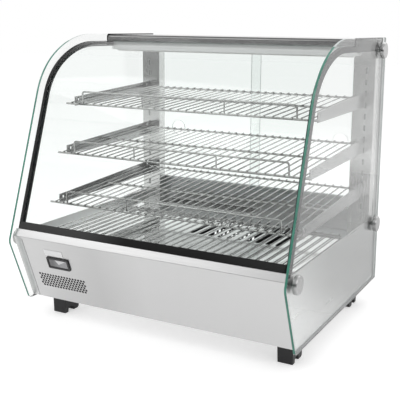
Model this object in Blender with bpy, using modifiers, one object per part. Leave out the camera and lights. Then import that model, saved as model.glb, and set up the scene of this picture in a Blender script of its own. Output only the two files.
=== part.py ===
"""Heated counter-top display case with a bent front glass, wire shelves and rear sliding doors.

Lengths are in metres and Z is up. The customer stands at -Y and looks along +Y. The origin is on the
counter, under the middle of the case.
"""

import math

import bmesh
import bpy
from mathutils import Matrix, Vector

# Overall size
CASE_WIDTH = 0.678
CASE_DEPTH = 0.596
CASE_HEIGHT = 0.660

# Clearances shared by all pieces
FIT_GAP = 0.0003
OVERRUN = 0.002
WELD = 0.000005
QUARTER = math.radians(90)

# Outline of the side glasses
SIDE_WALL = 0.005
SIDE_FOOT_HEIGHT = 0.049
TOE_SETBACK = 0.0575
KNEE_HEIGHT = 0.199
KNEE_RADIUS = 0.020
SLOPE_DEGREES = 71.7
BROW_RADIUS = 0.174
BROW_SWEEP = 35.8
CROWN_RADIUS = 0.238
SIDE_CORNER_RADIUS = 0.005
ARC_STEPS = 9
CORNER_STEPS = 3

# Round caps that hold the side glasses
CAP_RADIUS = 0.0195
CAP_THICKNESS = 0.011
CAP_EDGE = 0.0025
CAP_SHANK_RADIUS = 0.0042
CAP_STEPS = 16
CAP_FRONT_SETBACK = 0.042
CAP_REAR_INSET = 0.035
CAP_LOW_HEIGHT = 0.200
CAP_TOP_DROP = 0.031

# Front glass and its rubber
FRONT_WALL = 0.006
FRONT_INSET = 0.018
FRONT_GLASS_START = 0.0385
FRONT_GLASS_TUCK = 0.019
GASKET_WIDTH = 0.008
GASKET_DEPTH = 0.013
GASKET_START = 0.033
GASKET_HEIGHT = 0.016
GASKET_LIP = 0.007
GASKET_LIP_HEIGHT = 0.007
GASKET_REAR_LIP = 0.004
GASKET_SHOULDER = 0.002

# Sheet metal of the base
SHEET = 0.0012
BASE_BOTTOM = 0.055
FOLD_HEIGHT = 0.2105
PANEL_TOE_SETBACK = 0.0141
PANEL_FOLD_SETBACK = 0.012
PANEL_RETURN = 0.012
DECK_HEIGHT = 0.200
CHEEK_HEIGHT = 0.2165
BACK_PANEL_INSET = 0.018

# Display and vent holes in the front panel
DISPLAY_WIDTH = 0.061
DISPLAY_HEIGHT = 0.030
DISPLAY_BORDER = 0.004
DISPLAY_PROUD = 0.003
DISPLAY_CORNER = 0.003
DISPLAY_INSET = 0.1107
DISPLAY_DROP = 0.058
DISPLAY_WINDOW_RECESS = 0.001
MODULE_DEPTH = 0.024
VENT_HOLE = 0.0032
VENT_PITCH = 0.00565
VENT_COLUMNS = 24
VENT_ROWS = 7
VENT_INSET = 0.0437
VENT_DROP = 0.097

# Slots of the deck
DECK_SLOTS = 10
DECK_SLOT_PITCH = 0.0245
DECK_SLOT_WIDTH = 0.011
DECK_SLOT_LENGTH = 0.180
DECK_SLOT_INSET = 0.1267
DECK_SLOT_FRONT_Y = -0.0385

# Rear uprights
POST_WIDTH = 0.054
POST_DEPTH = 0.028
POST_WALL = 0.0015
POST_REAR_INSET = 0.030
POST_TOP_DROP = 0.025
SLOT_INSET = 0.0212
SLOT_WIDTH = 0.005
SLOT_LENGTH = 0.014
SLOT_PITCH = 0.028
SLOT_END_GAP = 0.030
SLOT_FIRST_HEIGHT = 0.245

# Bracket arms and wire shelves
ARM_WALL = 0.002
ARM_TIP_HEIGHT = 0.022
ARM_ROOT_DROP = 0.022
ARM_RISE = 0.014
ARM_SHORTER = 0.018
ARM_FLANGE = 0.008
ARM_HOLE = 0.006
ARM_HOLE_INSET = 0.014
ARM_HOLE_DROP = 0.005
HOOK_HEIGHT = 0.010
HOOK_DEPTH = 0.003
HOOK_DROP = 0.004
SHELF_TILT = 3.3
SHELF_REAR_GAP = 0.014
SHELF_ABOVE_HOOK = 0.018
SHELF_SLOT_SHARES = {"bottom": 0.10, "middle": 0.42, "top": 0.75}
SHELF_DEPTH = {"bottom": 0.398, "middle": 0.366, "top": 0.331}
WIRE_SIDES = 4
CROSS_SIDES = 6
WIRE_RADIUS = 0.0015
CROSS_RADIUS = 0.0025
RAIL_RADIUS = 0.0021
WIRE_BITE = 0.0005
WIRE_END_GAP = 0.003
WIRE_PITCH = 0.021
WIRE_OVERHANG = 0.004
CROSS_END_GAP = 0.001
FRONT_CROSS_END_GAP = 0.004
RAIL_HEIGHT = 0.030
RAIL_CORNER = 0.006
RAIL_END_CELL = 1
RAIL_POST_CELL = 9
FLOOR_RACK_DEPTH = 0.330
FLOOR_RACK_FRONT_GAP = 0.030

# Top of the case
COVER_FRONT_SETBACK = 0.3745
COVER_REAR_INSET = 0.0065
COVER_RADIUS = 0.007
COVER_REAR_DROP = 0.018
SEAL_WIDTH = 0.0037
SEAL_WALL = 0.0040
FRAME_DROP = 0.0245
FRAME_UPSTAND = 0.018
FRAME_END_HEIGHT = 0.028
LAMP_DEPTH = 0.030
LAMP_HEIGHT = 0.0155
LENS_RADIUS = 0.0075
LENS_DROP = 0.004
LENS_END_GAP = 0.010

# Sliding doors, their tracks and the sill under them
DOOR_WALL = 0.004
DOOR_SPACE = 0.0035
DOOR_OVERLAP = 0.0235
DOOR_COVER = 0.022
DOOR_BITE = 0.005
DOOR_TRAVEL = 0.260
TRACK_WALL = 0.0015
TRACK_LIP = 0.0100
TRACK_CLEARANCE = 0.0005
TRACK_FOOT_HEIGHT = 0.0022
TRACK_FOOT_SETBACK = 0.004
TRACK_BODY_HEIGHT = 0.0065
TRACK_REAR_LIP = 0.021
SILL_HEIGHT = 0.0272
PULL_RADIUS = 0.020
PULL_BORE = 0.014
PULL_LIP = 0.0010
PULL_FLOOR = 0.0015
PULL_STEPS = 18
PULL_INSET = 0.060
PULL_HEIGHT = 0.400

# Water pan, dropped into the deck
TRAY_WIDTH = 0.304
TRAY_DEPTH = 0.076
TRAY_DROP = 0.030
TRAY_POST_GAP = 0.0162
TRAY_REAR_GAP = 0.002
TRAY_WALL = 0.0010
TRAY_RIM = 0.007
TRAY_RADIUS = 0.012

# Feet
FOOT_TOP = 0.038
FOOT_BOTTOM = 0.034
FOOT_LENGTH = 0.052
FOOT_CORNER = 0.002
FOOT_TOE_LENGTH = 0.013
FOOT_HEEL_LENGTH = 0.020
FOOT_ARCH_HEIGHT = 0.012
FOOT_ARCH_RADIUS = 0.006
FOOT_INSET = 0.0402
FOOT_FRONT_SETBACK = 0.138
FOOT_REAR_INSET = 0.093
FOOT_STUD_RADIUS = 0.004
FOOT_STUD_REACH = 0.008
FOOT_STEPS = 8

# Controls on the back
KNOB_RADIUS = 0.019
KNOB_DEPTH = 0.015
KNOB_WALL = 0.003
KNOB_GRIP_RADIUS = 0.014
KNOB_SKIRT = 0.004
KNOB_STEPS = 20
KNOB_INSET = 0.0487
SPINDLE_RADIUS = 0.003
THERMOSTAT_SIZE = 0.036
THERMOSTAT_DEPTH = 0.026
CONTROL_HEIGHT = 0.128
SWITCH_PITCH = 0.040
SWITCH_WIDTH = 0.025
SWITCH_HEIGHT = 0.030
SWITCH_BORDER = 0.003
SWITCH_FLANGE = 0.002
SWITCH_DEPTH = 0.018
SWITCH_WALL = 0.002
ROCKER_TILT = 6.0
ROCKER_SIDE_GAP = 0.0005
ROCKER_PROUD = 0.0030
ROCKER_BACK = 0.005
ROCKER_BACK_SHARE = 0.6
BACK_SLOTS = 10
BACK_SLOT_ROWS = 2
BACK_SLOT_PITCH = 0.013
BACK_SLOT_WIDTH = 0.006
BACK_SLOT_LENGTH = 0.036
BACK_SLOT_X = -0.060
BACK_SLOT_ROW_PITCH = 0.048
GLAND_INSET = 0.0487
GLAND_HEIGHT = 0.085
GLAND_RADIUS = 0.011
GLAND_FLANGE_RADIUS = 0.014
GLAND_BORE = 0.0045
GLAND_PROUD = 0.012
GLAND_FLANGE = 0.003
GLAND_STEPS = 14

# Fan and heater in the base
FAN_INSET = 0.2387
FAN_Y = 0.052
MOTOR_RADIUS = 0.040
MOTOR_HEIGHT = 0.060
MOTOR_NECK = 0.010
SHAFT_RADIUS = 0.004
SHAFT_HEIGHT = 0.022
IMPELLER_HUB_RADIUS = 0.018
IMPELLER_RADIUS = 0.080
IMPELLER_HEIGHT = 0.018
IMPELLER_BLADES = 7
IMPELLER_PITCH = 32.0
BLADE_WALL = 0.0020
BLADE_BITE = 0.003
HEATER_RADIUS = 0.004
HEATER_SPAN = 0.300
HEATER_REAR_INSET = 0.073
HEATER_DEPTH = 0.060
HEATER_HEIGHT = 0.060
HEATER_BEND = 0.020
HEATER_BLOCK = 0.012

# Angle under which the faces of round pieces are shaded smooth
SMOOTH_BELOW = math.radians(40)

# Worked out from the sizes above
FRONT_Y = -CASE_DEPTH / 2
REAR_Y = CASE_DEPTH / 2
OUTER_X = CASE_WIDTH / 2
GLASS_X = OUTER_X - SIDE_WALL
BASE_X = GLASS_X - FIT_GAP
CHEEK_X = BASE_X - SHEET
DECK_TOP = DECK_HEIGHT
BACK_Y = REAR_Y - BACK_PANEL_INSET
POST_X = CHEEK_X - FIT_GAP
POST_REAR_Y = REAR_Y - POST_REAR_INSET
POST_FRONT_Y = POST_REAR_Y - POST_DEPTH
POST_TOP = CASE_HEIGHT - POST_TOP_DROP
PANE_X = GLASS_X - GASKET_WIDTH
FRAME_Z = CASE_HEIGHT - FRAME_DROP
COVER_Y = FRONT_Y + COVER_FRONT_SETBACK
COVER_REAR_Y = REAR_Y - COVER_REAR_INSET
PANE_END_Y = COVER_Y + FRONT_GLASS_TUCK
DISPLAY_X = -BASE_X + DISPLAY_INSET
VENT_LEFT = -BASE_X + VENT_INSET
DECK_SLOT_FIRST_X = POST_X - DECK_SLOT_INSET - (DECK_SLOTS - 1) * DECK_SLOT_PITCH
SLOT_X = POST_X - SLOT_INSET
SLOT_COUNT = int((POST_TOP - SLOT_END_GAP - SLOT_FIRST_HEIGHT) / SLOT_PITCH) + 1
CROSS_HALF = SLOT_X - ARM_WALL / 2 - CROSS_END_GAP
FRONT_CROSS_HALF = PANE_X - FRONT_CROSS_END_GAP
WIRE_COUNT = 2 * int((CROSS_HALF - WIRE_END_GAP) / WIRE_PITCH + 1 / 2)
TRAY_X = TRAY_WIDTH / 2 + TRAY_POST_GAP + POST_WIDTH - POST_X
FOOT_X = BASE_X - FOOT_INSET
FOOT_FRONT_Y = FRONT_Y + FOOT_FRONT_SETBACK
FOOT_REAR_Y = REAR_Y - FOOT_REAR_INSET
KNOB_X = BASE_X - KNOB_INSET
GLAND_X = -BASE_X + GLAND_INSET
FAN_X = BASE_X - FAN_INSET
HEATER_BACK_Y = REAR_Y - HEATER_REAR_INSET

FINISHES = {
    "clear glass": ((0.80, 0.93, 0.88, 0.25), 0.03, 0.0),
    "brushed steel": ((0.74, 0.74, 0.74, 1.0), 0.35, 1.0),
    "bright wire": ((0.80, 0.80, 0.80, 1.0), 0.25, 1.0),
    "chrome": ((0.86, 0.86, 0.87, 1.0), 0.10, 1.0),
    "black rubber": ((0.02, 0.02, 0.02, 1.0), 0.70, 0.0),
    "black plastic": ((0.03, 0.03, 0.03, 1.0), 0.45, 0.0),
    "grey window": ((0.22, 0.23, 0.24, 1.0), 0.15, 0.0),
    "white plastic": ((0.85, 0.85, 0.83, 1.0), 0.40, 0.0),
    "red rocker": ((0.55, 0.03, 0.02, 1.0), 0.30, 0.0),
    "aluminium": ((0.70, 0.71, 0.72, 1.0), 0.40, 1.0),
}

for old in list(bpy.data.objects):
    bpy.data.objects.remove(old)
case = bpy.data.collections.new("heated_display_case")
cutters = bpy.data.collections.new("cutters")
for group in (case, cutters):
    bpy.context.scene.collection.children.link(group)


def finished(name, mesh, finish):
    """A named object of the case, with its own material."""
    shape = bpy.data.objects.new(name, mesh)
    case.objects.link(shape)
    colour, roughness, metallic = FINISHES[finish]
    paint = bpy.data.materials.new(name + " " + finish)
    paint.use_nodes = True
    shader = paint.node_tree.nodes["Principled BSDF"]
    shader.inputs["Base Color"].default_value = colour
    shader.inputs["Alpha"].default_value = colour[3]
    shader.inputs["Roughness"].default_value = roughness
    shader.inputs["Metallic"].default_value = metallic
    mesh.materials.append(paint)
    mesh.shade_smooth()
    mesh.set_sharp_from_angle(angle=SMOOTH_BELOW)
    return shape


def baked(holder):
    """The mesh of a temporary object with its modifiers applied and its caps welded."""
    case.objects.link(holder)
    bpy.context.view_layer.update()
    graph = bpy.context.evaluated_depsgraph_get()
    mesh = bpy.data.meshes.new_from_object(holder.evaluated_get(graph))
    work = bmesh.new()
    work.from_mesh(mesh)
    bmesh.ops.remove_doubles(work, verts=work.verts, dist=WELD)
    bmesh.ops.transform(work, matrix=holder.matrix_world, verts=work.verts)
    work.to_mesh(mesh)
    work.free()
    bpy.data.objects.remove(holder)
    return mesh


def outline_mesh(loops, axis, low, high):
    """A flat outline with its holes, filled and extruded along one axis from low to high."""
    drawing = bpy.data.curves.new("outline", "CURVE")
    drawing.dimensions = "2D"
    drawing.fill_mode = "BOTH"
    drawing.extrude = (high - low) / 2
    for loop in loops:
        spline = drawing.splines.new("POLY")
        spline.points.add(len(loop) - 1)
        spline.use_cyclic_u = True
        for point, place in zip(spline.points, loop):
            point.co = (place[0], place[1], 0, 1)
    holder = bpy.data.objects.new("outline", drawing)
    turns = {"X": (QUARTER, 0, QUARTER), "Y": (QUARTER, 0, 0), "Z": (0, 0, 0)}
    holder.rotation_euler = turns[axis]
    holder.location["XYZ".index(axis)] = (low + high) / 2
    return baked(holder)


def plate(name, loops, axis, low, high, finish):
    """A named flat or folded sheet cut to an outline."""
    return finished(name, outline_mesh(loops, axis, low, high), finish)


def tool(shape):
    """Marks an object as a cutter, hidden from renders and drawn as wire."""
    case.objects.unlink(shape)
    cutters.objects.link(shape)
    shape.hide_render = True
    shape.display_type = "WIRE"
    return shape


def cutter(loops, axis, low, high):
    """A hidden cutter with the given outlines."""
    shape = bpy.data.objects.new("cutter", outline_mesh(loops, axis, low, high))
    case.objects.link(shape)
    return tool(shape)


def cut(shape, *tools):
    """Takes the cutters out of a shape."""
    for piece in tools:
        step = shape.modifiers.new("cut", "BOOLEAN")
        step.operation = "DIFFERENCE"
        step.object = piece


def fuse(shape, *others):
    """Joins helper shapes, drawn in the shape's own frame, so that it stays one solid."""
    for other in others:
        other.parent = shape
        step = shape.modifiers.new("fuse", "BOOLEAN")
        step.operation = "UNION"
        step.object = other
        tool(other)


def helper(mesh):
    """An object that only takes part in a cut or a join."""
    shape = bpy.data.objects.new("helper", mesh)
    case.objects.link(shape)
    return shape


def circle(centre, radius, steps):
    """The points of a circle."""
    return [
        (
            centre[0] + radius * math.cos(math.tau * step / steps),
            centre[1] + radius * math.sin(math.tau * step / steps),
        )
        for step in range(steps)
    ]


def rectangle(low, high):
    """The corners of a rectangle."""
    return [(low[0], low[1]), (high[0], low[1]), (high[0], high[1]), (low[0], high[1])]


def box_at(centre, width, height):
    """A rectangle round a centre."""
    return rectangle(
        (centre[0] - width / 2, centre[1] - height / 2),
        (centre[0] + width / 2, centre[1] + height / 2),
    )


def arc(centre, radius, start, end, steps):
    """The points of an arc between two angles in degrees."""
    angles = [math.radians(start + (end - start) * step / steps) for step in range(steps + 1)]
    return [centre + radius * Vector((math.cos(angle), math.sin(angle))) for angle in angles]


def rounded(corners, radii, steps=CORNER_STEPS):
    """An outline whose corners are arcs. A radius of zero keeps the corner sharp."""
    points = []
    for index, radius in enumerate(radii):
        corner = Vector(corners[index])
        back = (Vector(corners[index - 1]) - corner).normalized()
        ahead = (Vector(corners[(index + 1) % len(corners)]) - corner).normalized()
        if not radius:
            points.append(corner)
            continue
        half = back.angle(ahead) / 2
        centre = corner + (back + ahead).normalized() * radius / math.sin(half)
        spoke = corner + back * radius / math.tan(half) - centre
        turn = (math.pi - 2 * half) * math.copysign(1, ahead.x * back.y - ahead.y * back.x)
        for step in range(steps + 1):
            points.append(centre + Matrix.Rotation(turn * step / steps, 2) @ spoke)
    return points


def offset_path(path, distance):
    """An open path moved to its left by a distance, with mitred corners."""
    path = [Vector(point) for point in path]
    normals = []
    for start, end in zip(path, path[1:]):
        run = (end - start).normalized()
        normals.append(Vector((-run.y, run.x)))
    moved = []
    for index, point in enumerate(path):
        before = normals[max(index - 1, 0)]
        after = normals[min(index, len(normals) - 1)]
        moved.append(point + (before + after) * distance / (1 + before.dot(after)))
    return moved


def folded(path, wall):
    """The section of a sheet that is bent along a path, with its wall to the path's left."""
    return [Vector(point) for point in path] + offset_path(path, wall)[::-1]


def mirrored(side, inner, outer):
    """The span between two distances from the middle, on the left (-1) or the right (1)."""
    return (side * inner, side * outer) if side > 0 else (side * outer, side * inner)


def turned(name, profile, steps, finish):
    """A turned piece. The profile is radius and height, from the top of its outer side down."""
    mesh = bpy.data.meshes.new(name)
    mesh.from_pydata(
        [(radius, 0, height) for radius, height in profile],
        [(index, index + 1) for index in range(len(profile) - 1)],
        [],
    )
    holder = bpy.data.objects.new(name, mesh)
    spin = holder.modifiers.new("turn", "SCREW")
    spin.steps = steps
    spin.render_steps = steps
    spin.use_merge_vertices = True
    spin.merge_threshold = WELD
    return finished(name, baked(holder), finish)


def place(shape, location, rotation=(0, 0, 0)):
    """Sets an object where it sits."""
    shape.location = location
    shape.rotation_euler = rotation
    return shape


def tube(work, start, end, radius, ridge, sides):
    """Adds a straight wire with one of its ridges facing a given way."""
    start, end, ridge = Vector(start), Vector(end), Vector(ridge)
    run = (end - start).normalized()
    turn = Matrix((ridge.cross(run), ridge, run)).transposed().to_4x4()
    bmesh.ops.create_cone(
        work,
        cap_ends=True,
        segments=sides,
        radius1=radius,
        radius2=radius,
        depth=(end - start).length,
        matrix=Matrix.Translation((start + end) / 2) @ turn,
    )


def wires(runs, radius, ridge, sides=WIRE_SIDES):
    """A mesh of straight wires that don't touch each other."""
    work = bmesh.new()
    for start, end in runs:
        tube(work, start, end, radius, ridge, sides)
    mesh = bpy.data.meshes.new("wires")
    work.to_mesh(mesh)
    work.free()
    return mesh


def bent_tube(route, radius, resolution):
    """The mesh of a bar bent along a route of points."""
    drawing = bpy.data.curves.new("bar", "CURVE")
    drawing.dimensions = "3D"
    drawing.bevel_depth = radius
    drawing.bevel_resolution = resolution
    drawing.use_fill_caps = True
    spline = drawing.splines.new("POLY")
    spline.points.add(len(route) - 1)
    for point, spot in zip(spline.points, route):
        point.co = (*spot, 1)
    return baked(bpy.data.objects.new("bar", drawing))


# Outline that the side glasses, the front glass and the rubber share
SLOPE = Vector((math.cos(math.radians(SLOPE_DEGREES)), math.sin(math.radians(SLOPE_DEGREES))))
INWARD = Vector((SLOPE.y, -SLOPE.x))
TOE_LEAN = math.atan2(TOE_SETBACK, KNEE_HEIGHT - SIDE_FOOT_HEIGHT)
KNEE_HALF_TURN = (TOE_LEAN + math.radians(90 - SLOPE_DEGREES)) / 2
KNEE_TRIM = KNEE_RADIUS * (math.cos(TOE_LEAN - KNEE_HALF_TURN) / math.cos(KNEE_HALF_TURN) - 1)
KNEE = Vector((FRONT_Y - KNEE_TRIM, KNEE_HEIGHT))
BROW_START = 90 + SLOPE_DEGREES
BROW_END = BROW_START - BROW_SWEEP
CROWN_RISE = CROWN_RADIUS * (1 - math.sin(math.radians(BROW_END)))
BROW_RISE = BROW_RADIUS * (INWARD.y + math.sin(math.radians(BROW_END)))
SLOPE_LENGTH = (CASE_HEIGHT - CROWN_RISE - BROW_RISE - KNEE_HEIGHT) / SLOPE.y
BROW_CENTRE = KNEE + SLOPE * SLOPE_LENGTH + INWARD * BROW_RADIUS
BROW_TOP = arc(BROW_CENTRE, BROW_RADIUS, BROW_END, BROW_END, 1)[0]
CROWN_CENTRE = arc(BROW_TOP, -CROWN_RADIUS, BROW_END, BROW_END, 1)[0]


def front_line(inset, start, end_y):
    """The front outline moved inwards, from a distance above the knee to a place on the level top."""
    return (
        [KNEE + INWARD * inset + SLOPE * start]
        + arc(BROW_CENTRE, BROW_RADIUS - inset, BROW_START, BROW_END, ARC_STEPS)
        + arc(CROWN_CENTRE, CROWN_RADIUS - inset, BROW_END, 90, ARC_STEPS)[1:]
        + [Vector((end_y, CASE_HEIGHT - inset))]
    )


def on_slope(inset, height):
    """A point by its distance inside the outline and its distance above the knee along the slope."""
    return KNEE + INWARD * inset + SLOPE * height


# Front panel of the base, as the path of its outer face
PANEL_TOE = Vector(
    (
        KNEE.x + TOE_SETBACK * (KNEE_HEIGHT - BASE_BOTTOM) / (KNEE_HEIGHT - SIDE_FOOT_HEIGHT)
        + PANEL_TOE_SETBACK,
        BASE_BOTTOM,
    )
)
PANEL_FOLD = Vector((KNEE.x + PANEL_FOLD_SETBACK, FOLD_HEIGHT))
PANEL_LEAN = math.atan2(PANEL_FOLD.y - PANEL_TOE.y, PANEL_FOLD.x - PANEL_TOE.x)
LEDGE_TOP = on_slope(FRONT_INSET - GASKET_LIP, GASKET_START - FIT_GAP)
LEDGE_REAR = on_slope(FRONT_INSET + FRONT_WALL + GASKET_REAR_LIP, GASKET_START - FIT_GAP)
RETURN_Z = DECK_TOP - SHEET - FIT_GAP - SHEET
PANEL_PATH = [
    PANEL_TOE,
    PANEL_FOLD,
    LEDGE_TOP,
    LEDGE_REAR,
    Vector((LEDGE_REAR.x, RETURN_Z + SHEET)),
    Vector((LEDGE_REAR.x + PANEL_RETURN, RETURN_Z + SHEET)),
]
DECK_FRONT_Y = LEDGE_REAR.x + FIT_GAP


def make_side_glasses():
    """Two clear panels, each with three holes for its caps."""
    toe = (KNEE.x + TOE_SETBACK, SIDE_FOOT_HEIGHT)
    heel = (REAR_Y, SIDE_FOOT_HEIGHT)
    top = (REAR_Y, CASE_HEIGHT)
    curve = front_line(0, 0, REAR_Y)[1:-1]
    corners = [toe, heel, top] + curve[::-1] + [KNEE]
    radii = [SIDE_CORNER_RADIUS] * 3 + [0] * len(curve) + [KNEE_RADIUS]
    holes = [circle(spot, CAP_SHANK_RADIUS + FIT_GAP, CAP_STEPS) for spot in cap_places()]
    for side, word in ((-1, "left"), (1, "right")):
        low, high = mirrored(side, GLASS_X, OUTER_X)
        plate("side_glass_" + word, [rounded(corners, radii)] + holes, "X", low, high, "clear glass")


def cap_places():
    """The three cap centres of a side glass, as Y and Z."""
    rear = REAR_Y - CAP_REAR_INSET
    return [
        (FRONT_Y + CAP_FRONT_SETBACK, CAP_LOW_HEIGHT),
        (rear, CAP_LOW_HEIGHT),
        (rear, CASE_HEIGHT - CAP_TOP_DROP),
    ]


def make_caps():
    """Round caps whose shanks pass through the glass into the cheek or the upright."""
    names = ("front", "rear", "top")
    for side, word in ((-1, "left"), (1, "right")):
        for name, (y, z) in zip(names, cap_places()):
            inner = POST_X - POST_WALL if name == "top" else CHEEK_X
            reach = OUTER_X - inner
            profile = [
                (0, CAP_THICKNESS),
                (CAP_RADIUS - CAP_EDGE, CAP_THICKNESS),
                (CAP_RADIUS, CAP_THICKNESS - CAP_EDGE),
                (CAP_RADIUS, FIT_GAP),
                (CAP_SHANK_RADIUS, FIT_GAP),
                (CAP_SHANK_RADIUS, -reach),
                (0, -reach),
            ]
            cap = turned("cap_%s_%s" % (name, word), profile, CAP_STEPS, "chrome")
            place(cap, (side * OUTER_X, y, z), (0, side * QUARTER, 0))


def make_front_glass():
    """The bent pane between the side glasses."""
    outer = front_line(FRONT_INSET, FRONT_GLASS_START, PANE_END_Y)
    inner = front_line(FRONT_INSET + FRONT_WALL, FRONT_GLASS_START, PANE_END_Y)
    reach = PANE_X - FIT_GAP
    plate("front_glass", [outer + inner[::-1]], "X", -reach, reach, "clear glass")


def make_gaskets():
    """The rubber at both ends of the front glass and the shoe under it."""
    outer = front_line(FRONT_INSET, GASKET_START, PANE_END_Y)
    inner = front_line(FRONT_INSET + GASKET_DEPTH, GASKET_START, PANE_END_Y)
    for side, word in ((-1, "left"), (1, "right")):
        low, high = mirrored(side, PANE_X, GLASS_X - FIT_GAP)
        plate("gasket_" + word, [outer + inner[::-1]], "X", low, high, "black rubber")
    face = FRONT_INSET - FIT_GAP
    back = FRONT_INSET + FRONT_WALL + FIT_GAP
    groove = FRONT_GLASS_START - FIT_GAP
    top = GASKET_START + GASKET_HEIGHT
    section = [
        on_slope(FRONT_INSET - GASKET_LIP, GASKET_START),
        on_slope(back + GASKET_REAR_LIP - FIT_GAP, GASKET_START),
        on_slope(back + GASKET_REAR_LIP - FIT_GAP, top),
        on_slope(back, top),
        on_slope(back, groove),
        on_slope(face, groove),
        on_slope(face, top),
        on_slope(face - GASKET_SHOULDER, top),
        on_slope(FRONT_INSET - GASKET_LIP, GASKET_START + GASKET_LIP_HEIGHT),
    ]
    reach = PANE_X - FIT_GAP
    plate("gasket_bottom", [section], "X", -reach, reach, "black rubber")


def on_panel(x, drop, out):
    """A place on the front panel's outer face, by its distance below the fold and in front of it."""
    down = (PANEL_TOE - PANEL_FOLD).normalized()
    outward = Vector((down.y, -down.x))
    spot = PANEL_FOLD + down * drop + outward * out
    return (x, spot.x, spot.y)


def vent_loops():
    """Staggered rows of small holes, in the plane of the front panel."""
    loops = []
    row_pitch = VENT_PITCH * math.sin(math.radians(60))
    for row in range(VENT_ROWS):
        shift = VENT_PITCH / 2 * (row % 2)
        for column in range(VENT_COLUMNS - row % 2):
            centre = (column * VENT_PITCH + shift, -row * row_pitch)
            loops.append(circle(centre, VENT_HOLE / 2, 4))
    return loops


def make_front_panel():
    """The bent front sheet with its ledge, the display's cut-out and the vent holes."""
    path = PANEL_PATH
    panel = plate("front_panel", [folded(path, -SHEET)], "X", -BASE_X, BASE_X, "brushed steel")
    lean = (PANEL_LEAN, 0, 0)
    deep = SHEET + OVERRUN
    opening_width = DISPLAY_WIDTH - 2 * DISPLAY_BORDER
    opening_height = DISPLAY_HEIGHT - 2 * DISPLAY_BORDER
    window = cutter([box_at((0, 0), opening_width, opening_height)], "Z", -deep, deep)
    place(window, on_panel(DISPLAY_X, DISPLAY_DROP, 0), lean)
    vents = cutter(vent_loops(), "Z", -deep, deep)
    place(vents, on_panel(VENT_LEFT, VENT_DROP, 0), lean)
    ends = []
    for side in (-1, 1):
        low, high = mirrored(side, CHEEK_X - FIT_GAP, BASE_X + OVERRUN)
        ends.append(rectangle((low, BASE_BOTTOM), (high, LEDGE_REAR.y + OVERRUN)))
    start = LEDGE_REAR.x - SHEET - FIT_GAP
    end = DECK_FRONT_Y + PANEL_RETURN + OVERRUN
    notches = cutter(ends, "Y", start, end)
    cut(panel, window, vents, notches)


def make_chassis():
    """The base pan: a floor and two cheeks cut from one folded outline."""
    inside = offset_path(PANEL_PATH[:3], -SHEET - FIT_GAP)
    share = (CHEEK_HEIGHT - inside[1].y) / (inside[2].y - inside[1].y)
    horn = inside[1].lerp(inside[2], share)
    tip = Vector((LEDGE_REAR.x - SHEET - FIT_GAP, CHEEK_HEIGHT))
    rear = BACK_Y - SHEET - FIT_GAP
    outline = [inside[0], (rear, BASE_BOTTOM), (rear, CHEEK_HEIGHT), tip, horn, inside[1]]
    return outline


def finish_chassis(outline):
    """Hollows the pan out and drills it for the caps and the feet."""
    pan = plate("chassis", [outline], "X", -BASE_X, BASE_X, "brushed steel")
    floor = BASE_BOTTOM + SHEET
    low = (-CHEEK_X, floor)
    high = (CHEEK_X, CHEEK_HEIGHT + OVERRUN)
    hollow = cutter([rectangle(low, high)], "Y", FRONT_Y - OVERRUN, REAR_Y + OVERRUN)
    holes = [circle(spot, CAP_SHANK_RADIUS + FIT_GAP, CAP_STEPS) for spot in cap_places()[:2]]
    drills = cutter(holes, "X", -BASE_X - OVERRUN, BASE_X + OVERRUN)
    studs = [circle(spot, FOOT_STUD_RADIUS + FIT_GAP, FOOT_STEPS) for spot in foot_places()]
    stud_holes = cutter(studs, "Z", BASE_BOTTOM - OVERRUN, floor + OVERRUN)
    cut(pan, hollow, drills, stud_holes)


def foot_places():
    """The four feet, as X and Y."""
    return [(side * FOOT_X, y) for y in (FOOT_FRONT_Y, FOOT_REAR_Y) for side in (-1, 1)]


def slot_loop(x, start, end, width, steps=4):
    """A long slot with round ends, along the second axis."""
    radius = width / 2
    upper = arc(Vector((x, end - radius)), radius, 0, 180, steps)
    lower = arc(Vector((x, start + radius)), radius, 180, 360, steps)
    return upper + lower


def make_deck():
    """The cabinet floor with its air slots."""
    rear = COVER_REAR_Y
    reach = POST_X
    loops = [rectangle((-reach, DECK_FRONT_Y), (reach, rear))]
    for index in range(DECK_SLOTS):
        x = DECK_SLOT_FIRST_X + index * DECK_SLOT_PITCH
        end = DECK_SLOT_FRONT_Y + DECK_SLOT_LENGTH
        loops.append(slot_loop(x, DECK_SLOT_FRONT_Y, end, DECK_SLOT_WIDTH))
    loops.append(tray_outline(TRAY_RIM - FIT_GAP))
    plate("deck_plate", loops, "Z", DECK_TOP - SHEET, DECK_TOP, "brushed steel")


def make_sill():
    """The folded wall between the deck and the door track."""
    foot = DECK_TOP + FIT_GAP
    top = foot + SILL_HEIGHT
    path = [(TRACK_FRONT_Y, foot), (TRACK_FRONT_Y, top), (TRACK_REAR_Y, top), (TRACK_REAR_Y, foot)]
    plate("rear_sill", [folded(path, -SHEET)], "X", -POST_X, POST_X, "brushed steel")


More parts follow.
